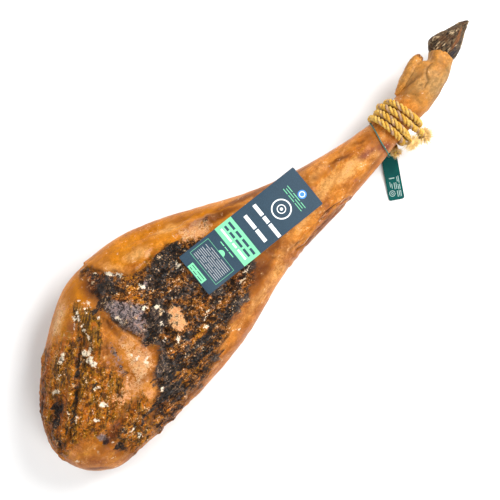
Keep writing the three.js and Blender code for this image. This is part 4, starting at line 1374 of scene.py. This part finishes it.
def card_print(sh, u, v):
    """The card's colours: slate with a mint band, boxes, bars and a ring, and no lettering."""
    marks = Print(sh, u, v, 0.12)
    grain = sh.noise(sh.place(), 700, 3, 0.6)
    slate = sh.mix(sh.rise(grain, 0.4, 0.6), CARD_SLATE, tuple(0.82 * c for c in CARD_SLATE))
    colour = sh.mix(marks.box(61.7, 89.9, -40, 40), slate, MINT)
    colour = sh.mix(marks.box(1.2, 10.4, -14.5, 15.4), colour, MINT)
    colour = sh.mix(marks.bars([[3, 4.2, -12, -3, -1, 6, 8, 13], [7.2, 8.4, -12, 2, 4, 13]]), colour, CARD_SLATE)
    frame_box = sh.math("SUBTRACT", marks.box(15.7, 47.3, -27.7, 28.3), marks.box(16.2, 46.8, -27.2, 27.8), True)
    small = [[19 + 2.9 * row, 19.7 + 2.9 * row, *ends] for row, ends in enumerate([
        (-24, -6, -4, 12, 14, 24), (-24, -14, -12, 3, 5, 24), (-24, 2, 4, 15, 17, 24), (-24, -9, -7, 24),
        (-24, 8, 10, 24), (-24, -17, -15, 6, 8, 24), (-24, -2, 0, 19), (-24, 11, 13, 24), (-24, -5, -3, 16)])]
    colour = sh.mix(sh.math("MULTIPLY", marks.bars(small), 0.5), colour, PRINT_WHITE)
    colour = sh.mix(sh.math("MULTIPLY", frame_box, 0.8), colour, MINT)
    half_round = sh.math("MULTIPLY", marks.disc(47.6, 0.7, 5.2), marks.box(47.3, 60, -10, 10))
    colour = sh.mix(half_round, colour, MINT)
    colour = sh.mix(marks.bars([[56.9, 58.1, -13, -4, -2.5, 5, 6.5, 14]]), colour, MINT)
    colour = sh.mix(marks.bars([[67.6, 70.2, -26, -9, -6, 2, 5, 27]]), colour, PRINT_WHITE)
    dark = [[73.6, 77.2, -26, -13, -10, 3, 6, 16, 19, 27], [81, 84.8, -28, -18, -15, -2, 1, 12, 15, 28]]
    colour = sh.mix(marks.bars(dark), colour, CARD_SLATE)
    words = [[103, 108.4, -24, -4, -1.5, 21], [122, 127.4, -31, -9, -6.5, 4, 6.5, 25]]
    colour = sh.mix(marks.bars(words), colour, PRINT_WHITE)
    emblem = marks.several([marks.ring(150.4, -2.9, 14.2, 1.8), marks.ring(150.4, -2.9, 6.4, 1.2),
                            marks.disc(150.4, -2.9, 2.2)])
    colour = sh.mix(emblem, colour, PRINT_WHITE)
    lines = [[169.6, 170.5, -22, -8, -6, 6, 8, 17], [173.2, 174.1, -20, -4, -2, 15],
             [176.8, 177.7, -22, -12, -10, 4, 6, 17]]
    colour = sh.mix(marks.bars(lines), colour, MINT)
    colour = sh.mix(marks.disc(185.6, -4.8, 6.2), colour, (0.05, 0.22, 0.62))
    return sh.mix(marks.ring(185.6, -4.8, 4.2, 1.0), colour, PRINT_WHITE), grain


def card_material():
    sh = Shader("printed_card_board")
    u, v, face = sh.split_place(sh.attribute("card_place", "Vector"))
    colour, grain = card_print(sh, u, v)
    colour = sh.mix(sh.rise(face, 0.4, 0.6), tuple(0.9 * c for c in CARD_SLATE), colour)
    cloud = sh.noise(sh.place(), 45, 3, 0.5)
    colour = sh.mix(1.0, colour, sh.blend(cloud, 0.88, 1.12), "MULTIPLY")
    normal = sh.bump(grain, 0.0002, 0.35)
    return sh.finish(Base_Color=colour, Roughness=sh.blend(grain, 0.34, 0.5), Normal=normal,
                     Specular_IOR_Level=0.3)


CARD_STEPS = (120, 40)
CARD_CORNER = 0.8
CARD_LIFT = 3.0


def make_card(material):
    """A thin printed card, bowed a little and lifted at its butt end."""
    points, _ = cad_mesh("label_card")
    points = points / MM
    middle = (points.min(0) + points.max(0)) / 2
    _, _, axes = np.linalg.svd(points - points.mean(0), full_matrices=False)
    along = axes[0] * np.sign(axes[0][0])
    up = axes[2] * np.sign(axes[2][2])
    across = np.cross(up, along)
    rows, columns = CARD_STEPS
    u, v = np.meshgrid(np.linspace(-1, 1, rows + 1), np.linspace(-1, 1, columns + 1), indexing="ij")
    short = CARD_CORNER * np.clip((np.abs(v) - 0.97) / 0.03, 0, 1) ** 2
    u = u * CARD_LENGTH / 2 - np.sign(u) * short * (np.abs(u) > 0.999)
    v = v * CARD_WIDTH / 2
    bow = 0.9 * (1 - (v / 32.5) ** 2) + CARD_LIFT * smoothstep(-55, -100, u) * (0.75 - 0.25 * v / 32.5)
    bow += 0.25 * noise(np.stack([u.ravel(), v.ravel(), 0 * u.ravel()], 1), 60, 70).reshape(u.shape)
    flat = middle + u[..., None] * along + v[..., None] * across
    top = flat + up * (bow + CARD_THICKNESS / 2)[..., None]
    under = flat + up * (bow - CARD_THICKNESS / 2)[..., None]
    count = (rows + 1) * (columns + 1)
    faces = []
    for row in range(rows):
        for column in range(columns):
            a = row * (columns + 1) + column
            b = a + columns + 1
            faces.append((a, b, b + 1, a + 1))
            faces.append((count + a, count + a + 1, count + b + 1, count + b))
    rim = [row * (columns + 1) for row in range(rows + 1)]
    rim += [rows * (columns + 1) + column for column in range(1, columns + 1)]
    rim += [row * (columns + 1) + columns for row in reversed(range(rows))]
    rim += list(reversed(range(1, columns)))
    for a, b in zip(rim, rim[1:] + rim[:1]):
        faces.append((b, a, count + a, count + b))
    card = make_mesh("label_card_board", np.concatenate([top.reshape(-1, 3), under.reshape(-1, 3)]) * MM,
                     faces, material)
    card.data.set_sharp_from_angle(angle=math.radians(40))
    face = np.concatenate([np.ones(count), np.zeros(count)])
    place = np.stack([np.tile(u.ravel() + 100, 2), np.tile(v.ravel(), 2), face], 1)
    set_attribute(card, "card_place", "FLOAT_VECTOR", place)
    return stand_for(card, "label_card")


# ---------------------------------------------------------------- floor and light


def make_stage():
    sh = Shader("pale_floor")
    cloud = sh.noise(sh.place(), 3, 2, 0.5)
    sh.finish(Base_Color=sh.mix(cloud, (0.90, 0.90, 0.90), (0.88, 0.88, 0.88)), Roughness=0.9)
    sh.surface.inputs["Specular IOR Level"].default_value = 0.1
    corners = [(-1.8, -1.8, 0), (1.8, -1.8, 0), (1.8, 1.8, 0), (-1.8, 1.8, 0)]
    floor = make_mesh("floor", np.array(corners) - (0, 0, 0.0004), [(0, 1, 2, 3)], sh.material, False)


def area_light(name, place, aim, size, power):
    data = bpy.data.lights.new(name, "AREA")
    data.shape = "DISK"
    data.size = size
    data.energy = power
    light = bpy.data.objects.new(name, data)
    light.location = place
    light.rotation_euler = (Vector(aim) - Vector(place)).to_track_quat("-Z", "Y").to_euler()
    bpy.context.collection.objects.link(light)


SIDE_WHITE = 1.05
OVERHEAD_WHITE = 0.12


def make_light():
    """Large soft lamps from the hoof's lower side, in a bright white studio."""
    world = bpy.data.worlds.new("studio")
    world.use_nodes = True
    nodes, links = world.node_tree.nodes, world.node_tree.links
    way = nodes.new("ShaderNodeSeparateXYZ")
    links.new(nodes.new("ShaderNodeTexCoord").outputs["Generated"], way.inputs[0])
    dome = nodes.new("ShaderNodeMapRange")
    links.new(way.outputs["Z"], dome.inputs["Value"])
    dome.inputs["From Min"].default_value = 0.05
    dome.inputs["From Max"].default_value = 0.75
    dome.inputs["To Min"].default_value = SIDE_WHITE
    dome.inputs["To Max"].default_value = OVERHEAD_WHITE
    links.new(dome.outputs[0], nodes["Background"].inputs["Strength"])
    nodes["Background"].inputs["Color"].default_value = (1, 1, 1, 1)
    scene = bpy.context.scene
    scene.world = world
    scene.view_settings.view_transform = "Standard"
    area_light("key", (1.5, -0.2, 1.35), (0, 0, 0), 1.2, 52)
    area_light("fill", (-0.3, -1.3, 1.5), (0, 0, 0), 1.2, 22)
    area_light("far_fill", (-0.7, 1.3, 1.5), (0, 0, 0), 1.4, 19)


# ---------------------------------------------------------------- the whole ham


def build():
    make_camera()
    skin = CadSkin()
    make_string(string_material())
    hide = leg_material()
    make_leg(hide)
    horn = horn_material("hoof_horn", True)
    blue_horn = horn_material("hoof_horn_far", False)
    make_claw("hoof_claw_near", NEAR_CLAW, 1.3, 80, horn)
    make_claw("hoof_claw_far", FAR_CLAW, 0.4, 90, blue_horn)
    make_dewclaw("dewclaw_upper", UPPER_DEWCLAW, 100, hide)
    make_dewclaw("dewclaw_lower", LOWER_DEWCLAW, 110, hide)
    make_rope(skin, rope_material())
    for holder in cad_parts["tag"].material_slots:
        holder.material = tag_material()
    make_card(card_material())
    make_stage()
    make_light()


build()
